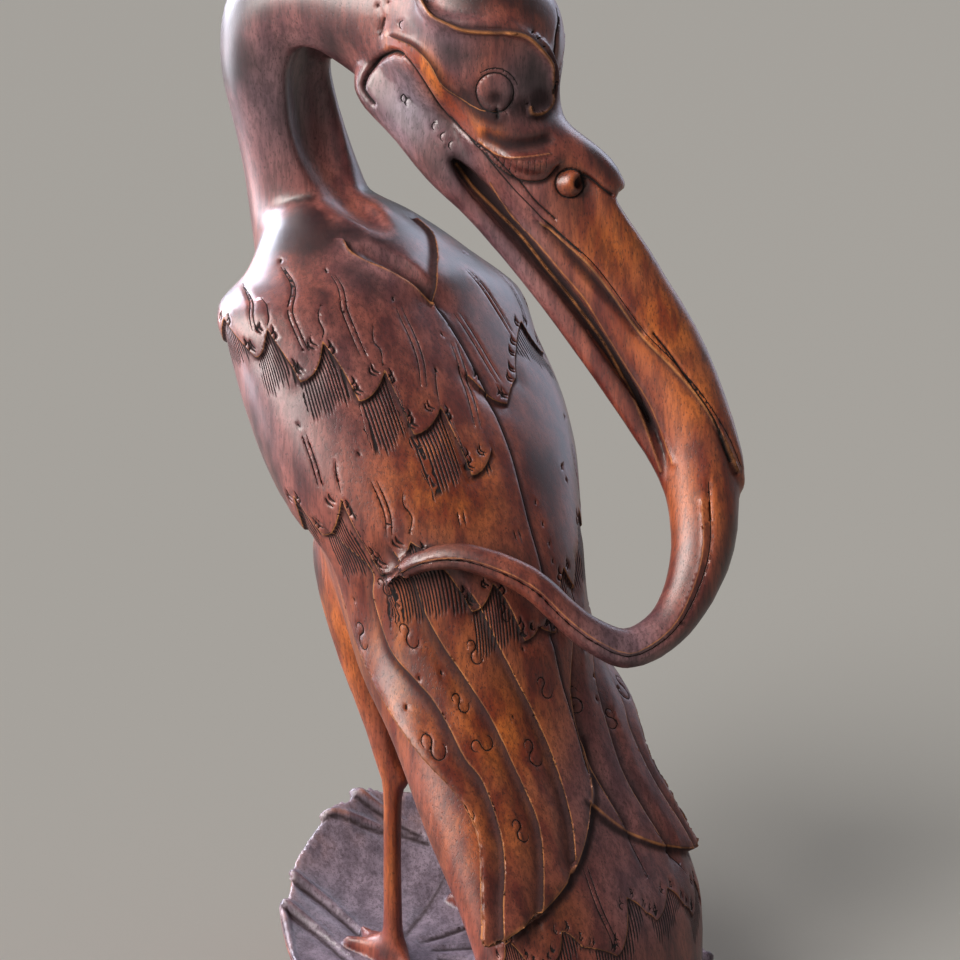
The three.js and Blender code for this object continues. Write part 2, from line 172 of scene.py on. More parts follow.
FAR_SHAFTS = [
    [(394, 32), (378, 38), (366, 40)], [(396, 60), (380, 60), (364, 57)], [(378, 80), (362, 77), (345, 75)],
    [(329, 22), (317, 21), (305, 19)], [(309, 42), (296, 41), (284, 38)],
]
UPPER_SHAFTS = [
    [(394, -12), (391, 3), (387, 13), (381, 16), (376, 17)], [(403, 17), (392, 30), (379, 36), (367, 37)],
    [(400, 46), (389, 54), (378, 57), (364, 57)], [(384, 76), (372, 77), (360, 76), (348, 73)],
    [(366, 91), (354, 90), (340, 88), (328, 86)],
]
LOWER_SHAFTS = [
    [(329, 22), (317, 21), (305, 19)], [(309, 42), (300, 42), (292, 41), (284, 38)],
    [(294, 68), (287, 67)], [(282, 87), (277, 87)],
]
NOTCH_WAVES = [
    [(390, 16), (387, 23), (382, 26), (378, 25)], [(387, 47), (381, 47), (376, 48), (372, 46)],
    [(377, 66), (370, 64), (366, 65), (359, 63)], [(356, 81), (349, 79), (345, 78), (340, 77)],
    [(318, 32), (312, 30), (303, 28)], [(304, 52), (298, 50), (292, 51), (284, 47)],
]
# Scrolls on the long feathers: height, degrees, size, and how far they are turned.
SCROLLS = [
    (232, 4, 3.6, 10), (236, 30, 3.6, 40), (229, 58, 3.4, 25), (208, 87, 3.2, 30), (188, 37, 4.2, 60),
    (206, 50, 3.0, 50), (187, 57, 3.4, 100), (181, 76, 3.6, 20), (258, 24, 2.6, 40), (150, 63, 2.8, 20),
    (160, 45, 2.4, 60), (246, 74, 2.6, 20),
]
FAR_SCROLLS = [
    (196, 77, 4.0, 10), (222, 60, 3.2, 30), (180, 62, 3.0, 20), (236, 30, 3.6, 40), (188, 37, 4.2, 60),
]
FAR_DOTS = [
    (213, 73), (202, 61), (191, 66), (192, 78), (296, 57), (302, 59), (291, 79), (281, 78), (272, 77),
    (264, 77), (248, 4), (216, 18), (216, 33), (219, 43), (333, 22), (321, 42), (406, 16), (402, 44),
]
FEATHER_DOTS = [
    (248, 4), (216, 18), (216, 33), (203, 26), (219, 43), (197, 71), (227, 80), (333, 22), (321, 42),
    (370, 89), (406, 16), (402, 44), (388, 75), (355, 81),
]
DOT_SIZE = 0.6

# The second line of a shaft stands so many degrees beside the first, and a degree is about
# this many millimetres.
SHAFT_GAP = 2.2
MM_A_DEGREE = 1.3

# Nicks on a pointed edge: where they stand along each side of a point, and how far its twin is.
NICK_SHARES = (0.14, 0.76)
NICK_TWIN = 0.1

# Strokes below the notches: degrees from one to the next, how far they lean on the near wing,
# and how far they hang below each row of feathers.
STROKE_SPACING = 1.4
STROKE_LEAN = 0.07
UPPER_DROP, LOWER_DROP = 13, 11
FAR_UPPER_DROP, FAR_LOWER_DROP = 12, 10
TAIL_DROP = 12

# The limbs of neck and head, each a list of places along it: its middle, half width and half
# depth. The neck runs on into the back of the head, and the beak into its curl.
NECK_ROWS = [
    (-44, 38, 322, 18, 20), (-60, 54, 352, 34, 36), (-74, 65, 384, 40, 38),
    (-83, 74, 405, 34, 33), (-89, 77, 428, 31, 30), (-95, 76, 454, 28, 28),
    (-101, 72, 480, 27, 27), (-104, 66, 503, 28, 27), (-98, 60, 525, 29, 28),
    (-75, 50, 531, 31, 30), (-48, 38, 527, 35, 33), (-22, 25, 520, 38, 34), (-2, 14, 512, 36, 30),
]
NECK_HOLLOW_ROWS = [
    (-83, 42, 509, 5, 4), (-79, 44, 497, 16, 15), (-77, 46, 480, 19, 20),
    (-74, 47, 462, 19, 20), (-66, 44, 442, 16, 16), (-52, 36, 427, 9, 9), (-42, 28, 420, 3, 3),
]
BEAK_ROWS = [
    (18, 3, 476, 18, 19), (31, 1, 446, 24, 21), (44, -1, 422, 23.5, 19),
    (56, -3, 405, 22, 17.5), (70, -5, 388, 21, 16.5), (83, -8, 370, 20.3, 15.5),
    (93, -11, 352, 19.5, 15), (102, -15, 335, 19, 14.5), (107, -19, 318, 18, 14.5),
    (109, -25, 297, 18, 14), (109, -34, 273, 16, 13), (102, -44, 252, 13, 11.5),
    (90, -54, 236, 10.6, 10.3), (72, -62, 228, 9.9, 9.5), (56, -67, 235, 8.6, 8.6),
    (41, -70, 247, 7.8, 8), (26, -71, 262, 7.6, 7.5), (9, -71, 271, 7.3, 7),
    (-9, -70, 276, 6.6, 6.3), (-26, -68, 274, 5.9, 5.5), (-38, -65, 267, 4.5, 4.4),
    (-45, -63, 260, 1.9, 2),
]
SHEATH_ROWS = [
    (57, -4, 440, 10, 13), (65, -4, 423, 12.7, 13), (79, -6, 395, 13.2, 12.5),
    (92, -8, 376, 12.2, 12), (104, -10, 358, 9.8, 11), (114, -14, 339, 7.2, 10),
    (123, -18, 321, 4.6, 8), (127, -22, 307, 2.8, 5), (129, -24, 297, 1.2, 2),
]
LOWER_BEAK_ROWS = [
    (-49, 26, 500, 7, 14), (-43, 24, 490, 15.5, 20), (-29.5, 19, 477.5, 17.5, 21.5),
    (-16, 13, 459, 16, 21), (-1, 8, 439, 11.5, 18), (14, 4, 419, 9.2, 15),
    (32, 0, 396, 8.2, 13.5), (51, -5, 370, 7.6, 12.5), (68, -11, 345, 6.8, 11),
    (80, -15, 325, 5.4, 9), (89, -20, 307, 3.2, 6), (94, -25, 293, 2.2, 4),
]
MOUTH_ROWS = [
    (-13, 457, 1), (-6, 449, 3.6), (4, 438, 4), (22, 417, 3.6), (44, 391, 3.2),
    (62, 366, 2.6), (76, 344, 1.6), (83, 330, 0.8),
]

# The mouth slot in each side of the beak, which narrows and turns forward towards its point.
MOUTH_DEPTH = 7
MOUTH_WIDER = 1.15
MOUTH_OUT = 16
MOUTH_NARROWS = 0.08
MOUTH_TURNS = 0.24
MOUTH_TURNS_FROM = -10
CROWN = ((-3, 13, 513), (44, 36, 43))
FACE_ROWS = [(7, 11, 502, 31, 33), (11, 7, 483, 28, 30), (17, 4, 465, 26, 27), (28, 2, 450, 24, 23)]
NOSE_ROWS = [
    (34, -2, 463, 13, 14), (48, -3, 455, 12.5, 13), (58, -4, 448, 10.5, 11), (65, -5, 443, 6, 7),
    (68, -5, 441, 2, 3),
]
NOSE_END = (60.5, -5, 450)
NOSE_END_SIZE = (6, 7, 5.5)
NOSE_UNDERCUT = [
    (68.6, -5, 439, 3.4, 14), (75.0, -5, 429.5, 3.4, 14), (83.5, -5, 417.5, 3.0, 14),
    (92, -5, 404, 2.4, 14),
]
BROW_ROWS = [
    (-32, 26, 536, 2, 2), (-20, 32, 524, 4, 4), (-6, 34, 521, 4.5, 4), (12, 32, 520, 4.5, 4),
    (27, 26, 512, 4.5, 5), (34, 19, 499, 4, 5), (34, 15, 488, 3, 4),
]
LIP_ROWS = [(6, 22, 467, 2, 4), (19, 24, 458, 4, 5), (30, 22, 456, 4, 5), (38, 17, 459, 2, 4)]

# The middle of the head from front to back, and how it leans. HEAD_Y is all that lines on
# both its sides may reach.
HEAD_MIDDLE_Y = 12
HEAD_LEANS_BELOW = 505
HEAD_LEAN = 0.2
HEAD_Y = (-60, 62)

# Eye and nostril on each side of the head: x, how far out from its middle, and height.
EYE = (8, 27, 489)
EYE_BALL = (10, 4.2, 10)
NOSTRIL = (44, 15, 447)
NOSTRIL_RADIUS = 6.5
NOSTRIL_OUT = 2.5
NOSTRIL_HOLE = (2.8, 6, 2.8)
NOSTRIL_HOLE_OUT = 8
NOSTRIL_HOLE_SHIFT = (4, 0, 0.5)

# The hollow scooped out between the shoulders.
NAPE_SCOOP_ROWS = [
    (-66, 17, 418, 2, 2), (-54, 18, 413, 7, 5), (-40, 18, 406, 8, 5.5), (-29, 16, 396, 5, 4),
    (-22, 14, 387, 1, 1.5),
]

# Legs: the near thigh and shank, and how far the far leg stands from it.
LEG_ROWS = [
    (-46, 18, 304, 10, 14), (-62, 24, 282, 16, 22), (-69, 21, 256, 17, 24), (-66, 14, 226, 14, 20),
    (-59, 8, 196, 11, 14), (-52, 4, 170, 8.5, 9.5), (-46, 1, 146, 7, 8), (-44, 0, 139, 6.8, 7.6),
    (-45, 0, 130, 5, 6.4), (-45.5, 0, 90, 4.7, 6.2), (-45.5, 0, 56, 5.2, 6.6), (-46, 0, 33, 6.5, 7.5),
]
HOCK_ROW = 7
HOCK_SHIFT = (4, -2, 2)
HOCK_SIZE = (4.5, 5.5, 5.5)
FAR_LEG_OFFSET = np.array((54.0, 44.0, 0.0))
FAR_LEG_TILT = np.array((-18.0, -14.0, 0.0))
TOE_TURNS = (-32, 0, 32, 180)
TOE_LENGTH = 26
TOE_RADIUS = 4.6
BACK_TOE_SHARE = 0.6

# The leaf: degrees round, radius and height of its rim.
RIM_ROWS = [
    (0, 113, 44), (30, 113, 56), (60, 117, 74), (90, 125, 92), (112, 134, 99), (119, 137.6, 98.9),
    (126, 136.2, 95.5), (134, 136.6, 86), (140, 134.9, 79), (146, 129.8, 72), (153, 121.0, 63),
    (158, 119.6, 57), (164, 113.2, 50.3), (171, 105.6, 45), (190, 102, 40), (215, 104, 37),
    (240, 109, 35), (270, 115, 35), (300, 119, 36), (330, 117, 38), (360, 113, 44),
]
# Its points: degrees round, and how far each stands out.
LEAF_TIPS = [
    (7, 4), (35, 4), (62, 5), (92, 5), (122.3, 6.6), (129.8, 7.0), (155.8, 3.6), (184, 4), (212, 4),
    (241, 4), (268, 4), (296, 4), (324, 4), (348, 4),
]
TIP_SPREAD = 2.4
# Its folds: those that run straight from the rim towards the heart, by degrees round, and those
# with a course of their own, by x and y. A shaded hollow runs along one side of each.
STRAIGHT_FOLDS = (7, 35, 62, 92, 212, 241, 268, 296, 324)
FOLD_STARTS = 0.97
FOLD_ENDS = 0.84
FOLD_SHADE = (-2.4, -3.6)
CURVED_FOLDS = [
    [(-102, 44), (-92, 41), (-81, 37), (-70, 30), (-58, 19)],
    [(-106, 26), (-96, 22), (-82, 14), (-67, 0)],
    [(-105, 23), (-101, 7), (-97, -9), (-88, -24)],
    [(-87, 78), (-72, 80), (-56, 82), (-42, 83), (-26, 82)],
    [(-72, 92), (-57, 90), (-44, 87), (-30, 84)],
]
LEAF_HEART = (-46, 14)
LEAF_FLOOR = 36
LEAF_THICKNESS = 5
LEAF_HIGHEST = 112

# The leaf turns up late towards its rim, and its underside leaves the block at this height.
LEAF_TURNS_UP = 3.2
LEAF_UNDER = 22
LEAF_UNDER_RISES = 0.8

# The round block under the leaf.
FOOT_RADIUS = 96
FOOT_INSIDE_LEAF = 4
FOOT_TOP = 30
FOOT_SHOULDER = 16
FOOT_SLOPE = 0.7

# Lines on the sides of the head and beak, by x and z.
BROW_LINE = [
    (-28, 533), (-23, 526), (-15, 522), (-7, 519), (5, 518), (14, 518), (22, 516), (29, 510), (34, 503),
    (35, 495), (35, 487), (34, 483), (30, 480), (25, 480), (24, 483),
]
STRAP_INNER = [(36, 533), (38, 524), (37, 516), (37, 507), (36, 498), (35, 489)]
STRAP_OUTER = [(39, 533), (41, 522), (41, 510), (39, 498), (36, 488)]
BROW_DOTS = [(26, 519), (29, 516), (32, 512), (34, 508)]
PLATE_TOP = [
    (-57, 491), (-55, 497), (-49, 504), (-42, 508), (-37, 507), (-32, 502), (-26, 493), (-19, 482),
    (-12, 474), (-4, 467), (5, 461), (12, 454), (19, 447), (27, 438), (36, 430),
]
PLATE_CRESCENTS = [(-36, 486), (-34, 484), (-21, 473), (-17, 468), (-13, 464), (-37, 521)]
PLATE_END = [(-52, 483), (-57, 490), (-55, 497), (-49, 504), (-42, 508), (-38, 507)]
CHEEK_BAND = [(-40, 512), (-30, 506), (-22, 496), (-13, 484), (-4, 476), (5, 470)]
LIP_POUCH = [(4, 469), (13, 466), (23, 466), (32, 468)]
LIP_UNDER = [(1, 462), (8, 455), (15, 450), (23, 448), (31, 449), (37, 455)]
EYE_SHADE = [[(13, 485), (20, 483), (28, 487)], [(-8, 489), (0, 481), (9, 478)]]
BROW_BAND = [(14, 518), (22, 516), (29, 510), (34, 503), (35, 495)]
BEAK_RECESS = [(33, 424), (45, 411), (56, 399), (67, 387), (77, 376)]
CHIP = [[(-47, 5, 529), (-42, 4, 523), (-44, 5, 517)], [(-41, 4, 530), (-39, 3, 524)]]
CHEEK_UPPER = [(-42, 515), (-32, 511), (-24, 503), (-18, 493), (-9, 487), (0, 482), (9, 481)]
LIP_UPPER = [(0, 467), (7, 462), (14, 460), (24, 460), (33, 461)]
LIP_LOWER = [(6, 458), (14, 452), (23, 450), (30, 451), (35, 456)]
KNOB_GROOVE = [(50, 451), (57, 446), (64, 441)]
SLOT_EDGE = [
    (-11, 455), (-3, 444), (8, 433), (21, 420), (32, 406), (43, 393), (53, 380), (61, 369),
    (71, 351), (79, 335), (89, 308),
]
BEAK_RIDGE = [
    (5, 447), (15, 431), (27, 419), (40, 404), (51, 391), (61, 375), (71, 359), (84, 338), (94, 312),
]
BEAK_RIBBON = [
    (29, 428), (42, 417), (53, 407), (64, 393), (77, 375), (93, 359), (107, 343), (119, 324), (126, 308),
]
THIN_UPPER = [(-14, 477), (-3, 465), (10, 450), (24, 436), (35, 425), (48, 414)]
THIN_LOWER = [(84, 375), (93, 364), (102, 351), (113, 335), (123, 313)]
EYE_CENTRE = (7, 490)
EYE_RING = 9.4

# Lines on the tail, by height and degrees round the body: the shafts of its feathers and
# the pointed edge with its notches.
TAIL_SHAFTS = [[(128, 77), (110, 77), (91, 81)]]
TAIL_LINES = [[(138, 104), (126, 105), (114, 107)], [(131, 120), (120, 127), (108, 136)]]
TAIL_EDGE = [
    (92, 20), (104, 28), (92, 38), (88, 46), (93, 52), (105, 58), (96, 66), (88, 82), (111, 92),
    (102, 100), (97, 105), (108, 116), (97, 126), (90, 134), (104, 143), (92, 152),
]

# Points of a row of feathers bow out by these shares of their height, down one side and up the other.
BOW_FALLING = 0.13
BOW_RISING = -0.22

# Lines along a limb are laid on it in so many steps.
LIMB_STEPS = 200

# Touches of colour: a place, how far it spreads, and how strong it is. First where the stain is thin and
# warm, then where a cool violet sheen is painted in for light reflected off the polish, then where shade is
# painted in, round the eye, under the nose, in the neck's hollow and low on the body, with a darker stain
# on the long feathers.
WARM = [
    ((-55, -40, 215), 30, 0.8), ((-30, -60, 218), 34, 1.0), ((14, -85, 194), 34, 1.0),
    ((10, -90, 150), 28, 0.8), ((-14, -50, 306), 30, 1.0), ((-24, -54, 340), 28, 0.5),
    ((-71, 10, 219), 44, 0.9), ((-46, 0, 110), 40, 0.8), ((42, -120, 116), 18, 0.6),
    ((65, -20, 419), 26, 1.0), ((90, -20, 380), 26, 1.0), ((106, -30, 344), 24, 0.8),
    ((112, -40, 300), 26, 0.7), ((-20, -10, 494), 9, 0.7), ((4, -12, 504), 8, 0.9),
    ((6, 8, 552), 22, 0.6), ((44, -15, 447), 8, 1.0),
]
# Where a cool sheen is painted in, for light reflected off the polish.
SHEEN_TOUCHES = [
    ((-34, -5, 482), 24, 0.9), ((-12, -5, 455), 18, 0.5), ((-17, -15, 514), 18, 0.6),
    ((24, -20, 494), 18, 0.6), ((-104, 45, 487), 50, 0.55), ((-45, 10, 419), 30, 0.5),
    ((2, -10, 403), 40, 0.5), ((82, -90, 173), 44, 0.8), ((93, -100, 125), 34, 0.7),
    ((67, -70, 236), 26, 0.6), ((-19, -75, 278), 20, 0.3), ((-95, -20, 340), 44, 0.35),
]
# Where shade is painted in, with a darker stain on the long feathers.
SHADE_AND_DEEP_STAIN = [
    ((-55, -40, 215), 32, 0.7), ((-30, -60, 218), 34, 0.6), ((-14, -62, 180), 30, 0.3),
    ((-24, -70, 144), 22, 0.3), ((24, -20, 494), 15, 0.85), ((8, -20, 486), 9, 0.6),
    ((42, -120, 116), 22, 0.7), ((-19, -75, 278), 22, 0.6), ((-46, 0, 110), 30, 0.3),
    ((-114, 50, 487), 22, 0.3), ((-98, 44, 470), 26, 0.3), ((44, -18, 437), 12, 0.3),
    ((14, -16, 470), 12, 0.5), ((-110, 0, 290), 30, 0.2), ((70, -100, 150), 26, 0.3),
    ((65, -20, 419), 22, 0.25), ((-14, -50, 306), 24, 0.3), ((96, -50, 262), 26, 0.25),
    ((-30, -60, 170), 60, 0.3), ((20, -70, 130), 60, 0.3),
]
# How strongly the cool sheen is painted on the leaf's upper side.
SHEEN_ON_LEAF = 0.9

# The wax is rubbed thinner down over this stretch of height, to this share.
POLISH_FADES_OVER = (180, 330)
LEAST_POLISH = 0.15

# Colours of the stain and of the wood that shows where it is rubbed. The darkest also paint shade in
# hollows and cuts, the violet pair paints a cool sheen, and the rubbed colour also paints highlights on
# edges.
STAIN_AND_SHADE_DARK = (0.010, 0.0024, 0.0035, 1.0)
STAIN_MIDDLE = (0.095, 0.0170, 0.0130, 1.0)
STAIN_LIGHT = (0.220, 0.0540, 0.0340, 1.0)
WARM_DARK = (0.190, 0.0260, 0.0045, 1.0)
WARM_LIGHT = (0.480, 0.1250, 0.0190, 1.0)
# The two colours of the painted cool sheen.
SHEEN_DARK = (0.105, 0.0880, 0.1150, 1.0)
SHEEN_LIGHT = (0.180, 0.1560, 0.2000, 1.0)
# Wood where the stain is rubbed off, also used for the painted highlight on edges.
RUBBED_AND_HIGHLIGHT = (0.470, 0.1800, 0.0560, 1.0)
# Painted shade in the cuts.
SHADE_IN_THE_CUTS = (0.003, 0.0014, 0.0020, 1.0)

# Grain: noise scales a metre for the figure, the pores and the flecks, how far figure and pores are drawn
# out along the block, and how dark pores and flecks are and how dark the painted shade of the hollows, with
# its darker stain, is.
FIGURE_SCALE = 95.0
PORE_SCALE = 1500.0
FLECK_SCALE = 520.0
ALONG_FIGURE = (1.0, 1.0, 0.16)
ALONG_PORES = (1.0, 1.0, 0.3)
PORES_DARK = 0.6
FLECKS_DARK = 0.42
SHADE_AND_DEEP_STAIN_DARK = 0.9

# Between these values of the noise, figure, pores and flecks go from none to full.
FIGURE_BETWEEN = (0.34, 0.66)
PORES_BETWEEN = (0.56, 0.7)
FLECKS_BETWEEN = (0.42, 0.62)

# How far from a line, in widths of its tool, the painted shade in a groove and in a hollow and the light of
# an edge, partly a painted highlight and partly rubbed stain, fade out, and how strong they are.
GROOVE_SHADE_FADES = (0.05, 0.62)
PAINTED_SHADE_FADES = (0.0, 1.7)
PAINTED_SHADE_DARK = 0.92
EDGE_FADES = (0.0, 1.3)
EDGE_LIGHT = 0.7

# Carved strokes: the shares of their spacing from the middle of a stroke to its edge, how much
# the shortest stroke lacks, and over how much of a brush their ends grow thin.
STROKE_EDGE = (0.12, 0.34)
STROKE_LACKS = 0.45
STROKE_THINS = (0.0, 0.35)

# The finish: roughness of the waxed wood and of bare wood in the cuts, the wax on the wood, and how
# deep grooves and pores look, in metres, each with its strength.
WOOD_ROUGHNESS = 0.42
CUT_ROUGHNESS = 0.95
WAX = 0.55
WAX_ROUGHNESS = 0.34
WOOD_SPECULAR = 0.42
GROOVE_BUMP = (0.0006, 0.8)
PORE_BUMP = (0.00015, 0.35)

# The studio, in metres: soft round panels that light the bird alone, each with its place, width,
# power, colour and what it faces, a broad key for everything, and the camera.
PANELS = {
    "left_window": ((-1.75, -0.85, 1.4), 1.7, 104, (1.0, 0.94, 0.90), (-0.04, 0, 0.36)),
    "left_back": ((-1.7, 1.4, 1.4), 1.5, 120, (0.82, 0.86, 1.0), (-0.06, 0, 0.42)),
    "left_low": ((-1.9, 0.7, 0.35), 1.2, 32, (0.90, 0.91, 1.0), (-0.1, 0, 0.48)),
    "right_back": ((1.8, 2.0, 0.9), 1.6, 9, (0.72, 0.78, 1.0), (0, 0, 0.3)),
    "above_behind": ((1.1, 1.4, 1.6), 1.2, 14, (0.74, 0.80, 1.0), (-0.03, 0, 0.08)),
}
KEY_PLACE = (-1.1, -1.2, 1.7)
KEY_TARGET = (0, 0, 0.3)
KEY_POWER = 1.35
KEY_WIDTH = math.radians(35)
KEY_COLOUR = (1.0, 0.94, 0.86)
ROOM_COLOUR = (0.95, 0.93, 0.90, 1.0)
ROOM_POWER = 0.21
FLOOR_COLOUR = (0.80, 0.795, 0.78, 1.0)
FLOOR_SIZE = 120
CAMERA_TARGET = (-0.006, 0.026, 0.297)
CAMERA_DISTANCE = 1.2
CAMERA_DROP = math.radians(13)
CAMERA_LENS = 90


def eased(rows, place):
    """Values of a table at places of its first column, on smooth curves through its rows."""
    rows = np.array(sorted(rows), float)
    at, values = rows[:, 0], rows[:, 1:]
    slopes = np.diff(values, axis=0) / np.diff(at)[:, None]
    tangents = np.vstack([slopes[:1], (slopes[1:] + slopes[:-1]) / 2, slopes[-1:]])
    place = np.clip(np.asarray(place, float), at[0], at[-1])
    k = np.clip(np.searchsorted(at, place) - 1, 0, len(at) - 2)
    gap = (at[k + 1] - at[k])[..., None]
    t = (place - at[k])[..., None] / gap
    rising = t * t * (3 - 2 * t)
    leaving = t * (1 - t) ** 2 * gap * tangents[k]
    arriving = t * t * (1 - t) * gap * tangents[k + 1]
    return np.moveaxis(values[k] * (1 - rising) + values[k + 1] * rising + leaving - arriving, -1, 0)


def curve(rows, steps):
    """Even steps on a smooth path through rows of numbers."""
    rows = np.array(rows, float)
    ends = np.vstack([2 * rows[0] - rows[1], rows, 2 * rows[-1] - rows[-2]])
    place = np.linspace(0, len(rows) - 1, steps + 1)
    k = np.minimum(place.astype(int), len(rows) - 2)
    t = (place - k)[:, None]
    a, b, c, d = ends[k], ends[k + 1], ends[k + 2], ends[k + 3]
    square, cube = 2 * a - 5 * b + 4 * c - d, 3 * b - a - 3 * c + d
    return 0.5 * (2 * b + (c - a) * t + square * t ** 2 + cube * t ** 3)


def smoothstep(value, low, high):
    """A smooth rise from 0 at low to 1 at high."""
    t = np.clip((value - low) / (high - low), 0, 1)
    return t * t * (3 - 2 * t)


def unit(vectors):
    """The same directions, each one long."""
    return vectors / np.maximum(np.linalg.norm(vectors, axis=-1, keepdims=True), 1e-9)


def head_middle(height):
    """The head leans forward below the crown, so its middle moves with the height."""
    return HEAD_MIDDLE_Y - np.maximum(0, HEAD_LEANS_BELOW - height) * HEAD_LEAN


def soft_max(a, b, softness):
    """The larger of two, with the corner between them rounded."""
    overlap = np.maximum(softness - np.abs(a - b), 0) / softness
    return np.maximum(a, b) + overlap ** 2 * softness / 4


class Block:
    """The block of wood: for each cell, how far it is from the carved surface."""

    def __init__(self):
        self.low = np.array(BLOCK_LOW)
        self.axes = [
            np.arange(low, high, CELL, dtype=np.float32) for low, high in zip(BLOCK_LOW, BLOCK_HIGH)]
        self.distance = np.full([len(axis) for axis in self.axes], FAR, np.float32)

    def around(self, low, high):
        """The cells from one corner to another: their place in the block, and their x, y and z."""
        cut = []
        for axis, least, most in zip(self.axes, low, high):
            cut.append(slice(np.searchsorted(axis, least), max(np.searchsorted(axis, most), 1)))
        x, y, z = [axis[part] for axis, part in zip(self.axes, cut)]
        return tuple(cut), x[:, None, None], y[None, :, None], z[None, None, :]

    def between(self, low, high):
        """As around, for all cells from one height to another."""
        return self.around((*BLOCK_LOW[:2], low), (*BLOCK_HIGH[:2], high))

    def add(self, cut, form, softness):
        """Joins a form to what is there, with a fillet."""
        there = self.distance[cut]
        overlap = np.maximum(softness - np.abs(there - form), 0) / softness
        self.distance[cut] = np.minimum(there, form) - overlap ** 2 * softness / 4

    def take(self, cut, form, softness):
        """Cuts a form out of what is there, with a softened edge."""
        there = self.distance[cut]
        overlap = np.maximum(softness - np.abs(there + form), 0) / softness
        self.distance[cut] = np.maximum(there, -form) + overlap ** 2 * softness / 4

    def skin(self):
        """Points and triangles of the carved surface."""
        grid = openvdb.FloatGrid(FAR)
        grid.copyFromArray(np.clip(self.distance, -FAR, FAR))
        points, quads = grid.convertToQuads(0.0)
        faces = np.vstack([quads[:, [0, 1, 2]], quads[:, [0, 2, 3]]]).astype(np.int64)
        points, faces = largest_shell(points.astype(float) * CELL + self.low, faces)
        return evened(points, faces, 3), faces

    def settled(self, points, rounds):
        """Points drawn onto the surface of the block, less the steps of its cells."""
        soft = self.blurred(CELL)
        for _ in range(rounds):
            slope = np.zeros_like(points)
            for axis in range(3):
                step = np.zeros(3)
                step[axis] = CELL * 0.6
                slope[:, axis] = self.sample(soft, points + step) - self.sample(soft, points - step)
            slope /= CELL * 1.2
            steep = np.maximum((slope ** 2).sum(1), 0.2)
            move = np.clip(self.sample(soft, points) / steep, -0.8, 0.8)
            points = points - slope * move[:, None]
        return points

    def blurred(self, radius):
        """The mean distance over a cube round each cell: above zero on ridges, below in hollows."""
        soft = np.clip(self.distance, -FAR, FAR)
        reach = int(round(radius / CELL))
        for axis in range(3):
            soft = np.moveaxis(soft, axis, 0)
            before, after = np.repeat(soft[:1], reach + 1, 0), np.repeat(soft[-1:], reach, 0)
            total = np.cumsum(np.concatenate([before, soft, after]), axis=0, dtype=np.float64)
            soft = ((total[2 * reach + 1:] - total[:-2 * reach - 1]) / (2 * reach + 1)).astype(np.float32)
            soft = np.moveaxis(soft, 0, axis)
        return soft

    def sample(self, field, points):
        """Values of a field of cells at points, mixed from the eight cells round each."""
        place = (points - self.low) / CELL
        place = np.clip(place, 0, np.array(field.shape) - 1.001)
        whole = place.astype(int)
        part = place - whole
        total = np.zeros(len(points))
        for corner in np.ndindex(2, 2, 2):
            share = np.prod(np.where(corner, part, 1 - part), axis=1)
            x, y, z = (whole + corner).T
            total += share * field[x, y, z]
        return total


def evened(points, faces, rounds):
    """Each point drawn half way to the middle of its neighbours."""
    here, there = np.concatenate([faces[:, [0, 1]], faces[:, [1, 2]], faces[:, [2, 0]]]).T
    count = np.bincount(here, minlength=len(points))[:, None]
    for _ in range(rounds):
        total = np.stack([np.bincount(here, points[there, axis], len(points)) for axis in range(3)], 1)
        points = points * 0.5 + 0.5 * total / np.maximum(count, 1)
    return points


def largest_shell(points, faces):
    """Drops stray specks: keeps the one skin that most triangles belong to."""
    label = np.arange(len(points))
    while True:
        a, b = label[faces].min(1), label[faces].max(1)
        np.minimum.at(label, b, a)
        for _ in range(8):
            label = label[label]
        if (label[faces].min(1) == label[faces].max(1)).all():
            break
    kept = label[faces[:, 0]] == np.bincount(label[faces[:, 0]]).argmax()
    used, faces = np.unique(faces[kept], return_inverse=True)
    return points[used], faces.reshape(-1, 3)


def boxy_distance(u, v, w, a, b, c, power):
    """As oval_distance, for a form with flatter sides, the more so the higher the power."""
    x, y, z = np.abs(u / a), np.abs(v / b), np.abs(w / c)
    near = (x ** power + y ** power + z ** power) ** (1 / power) + 1e-5
    slope = np.sqrt((x ** (power - 1) / a) ** 2 + (y ** (power - 1) / b) ** 2 + (z ** (power - 1) / c) ** 2)
    return (near - 1) * near ** (power - 1) / (slope + 1e-5)


def oval_distance(u, v, w, a, b, c):
    """How far a place is outside an oval ball with half widths a, b and c."""
    near = np.sqrt((u / a) ** 2 + (v / b) ** 2 + (w / c) ** 2)
    steep = np.sqrt((u / a ** 2) ** 2 + (v / b ** 2) ** 2 + (w / c ** 2) ** 2) + 1e-5
    return near * (near - 1) / steep


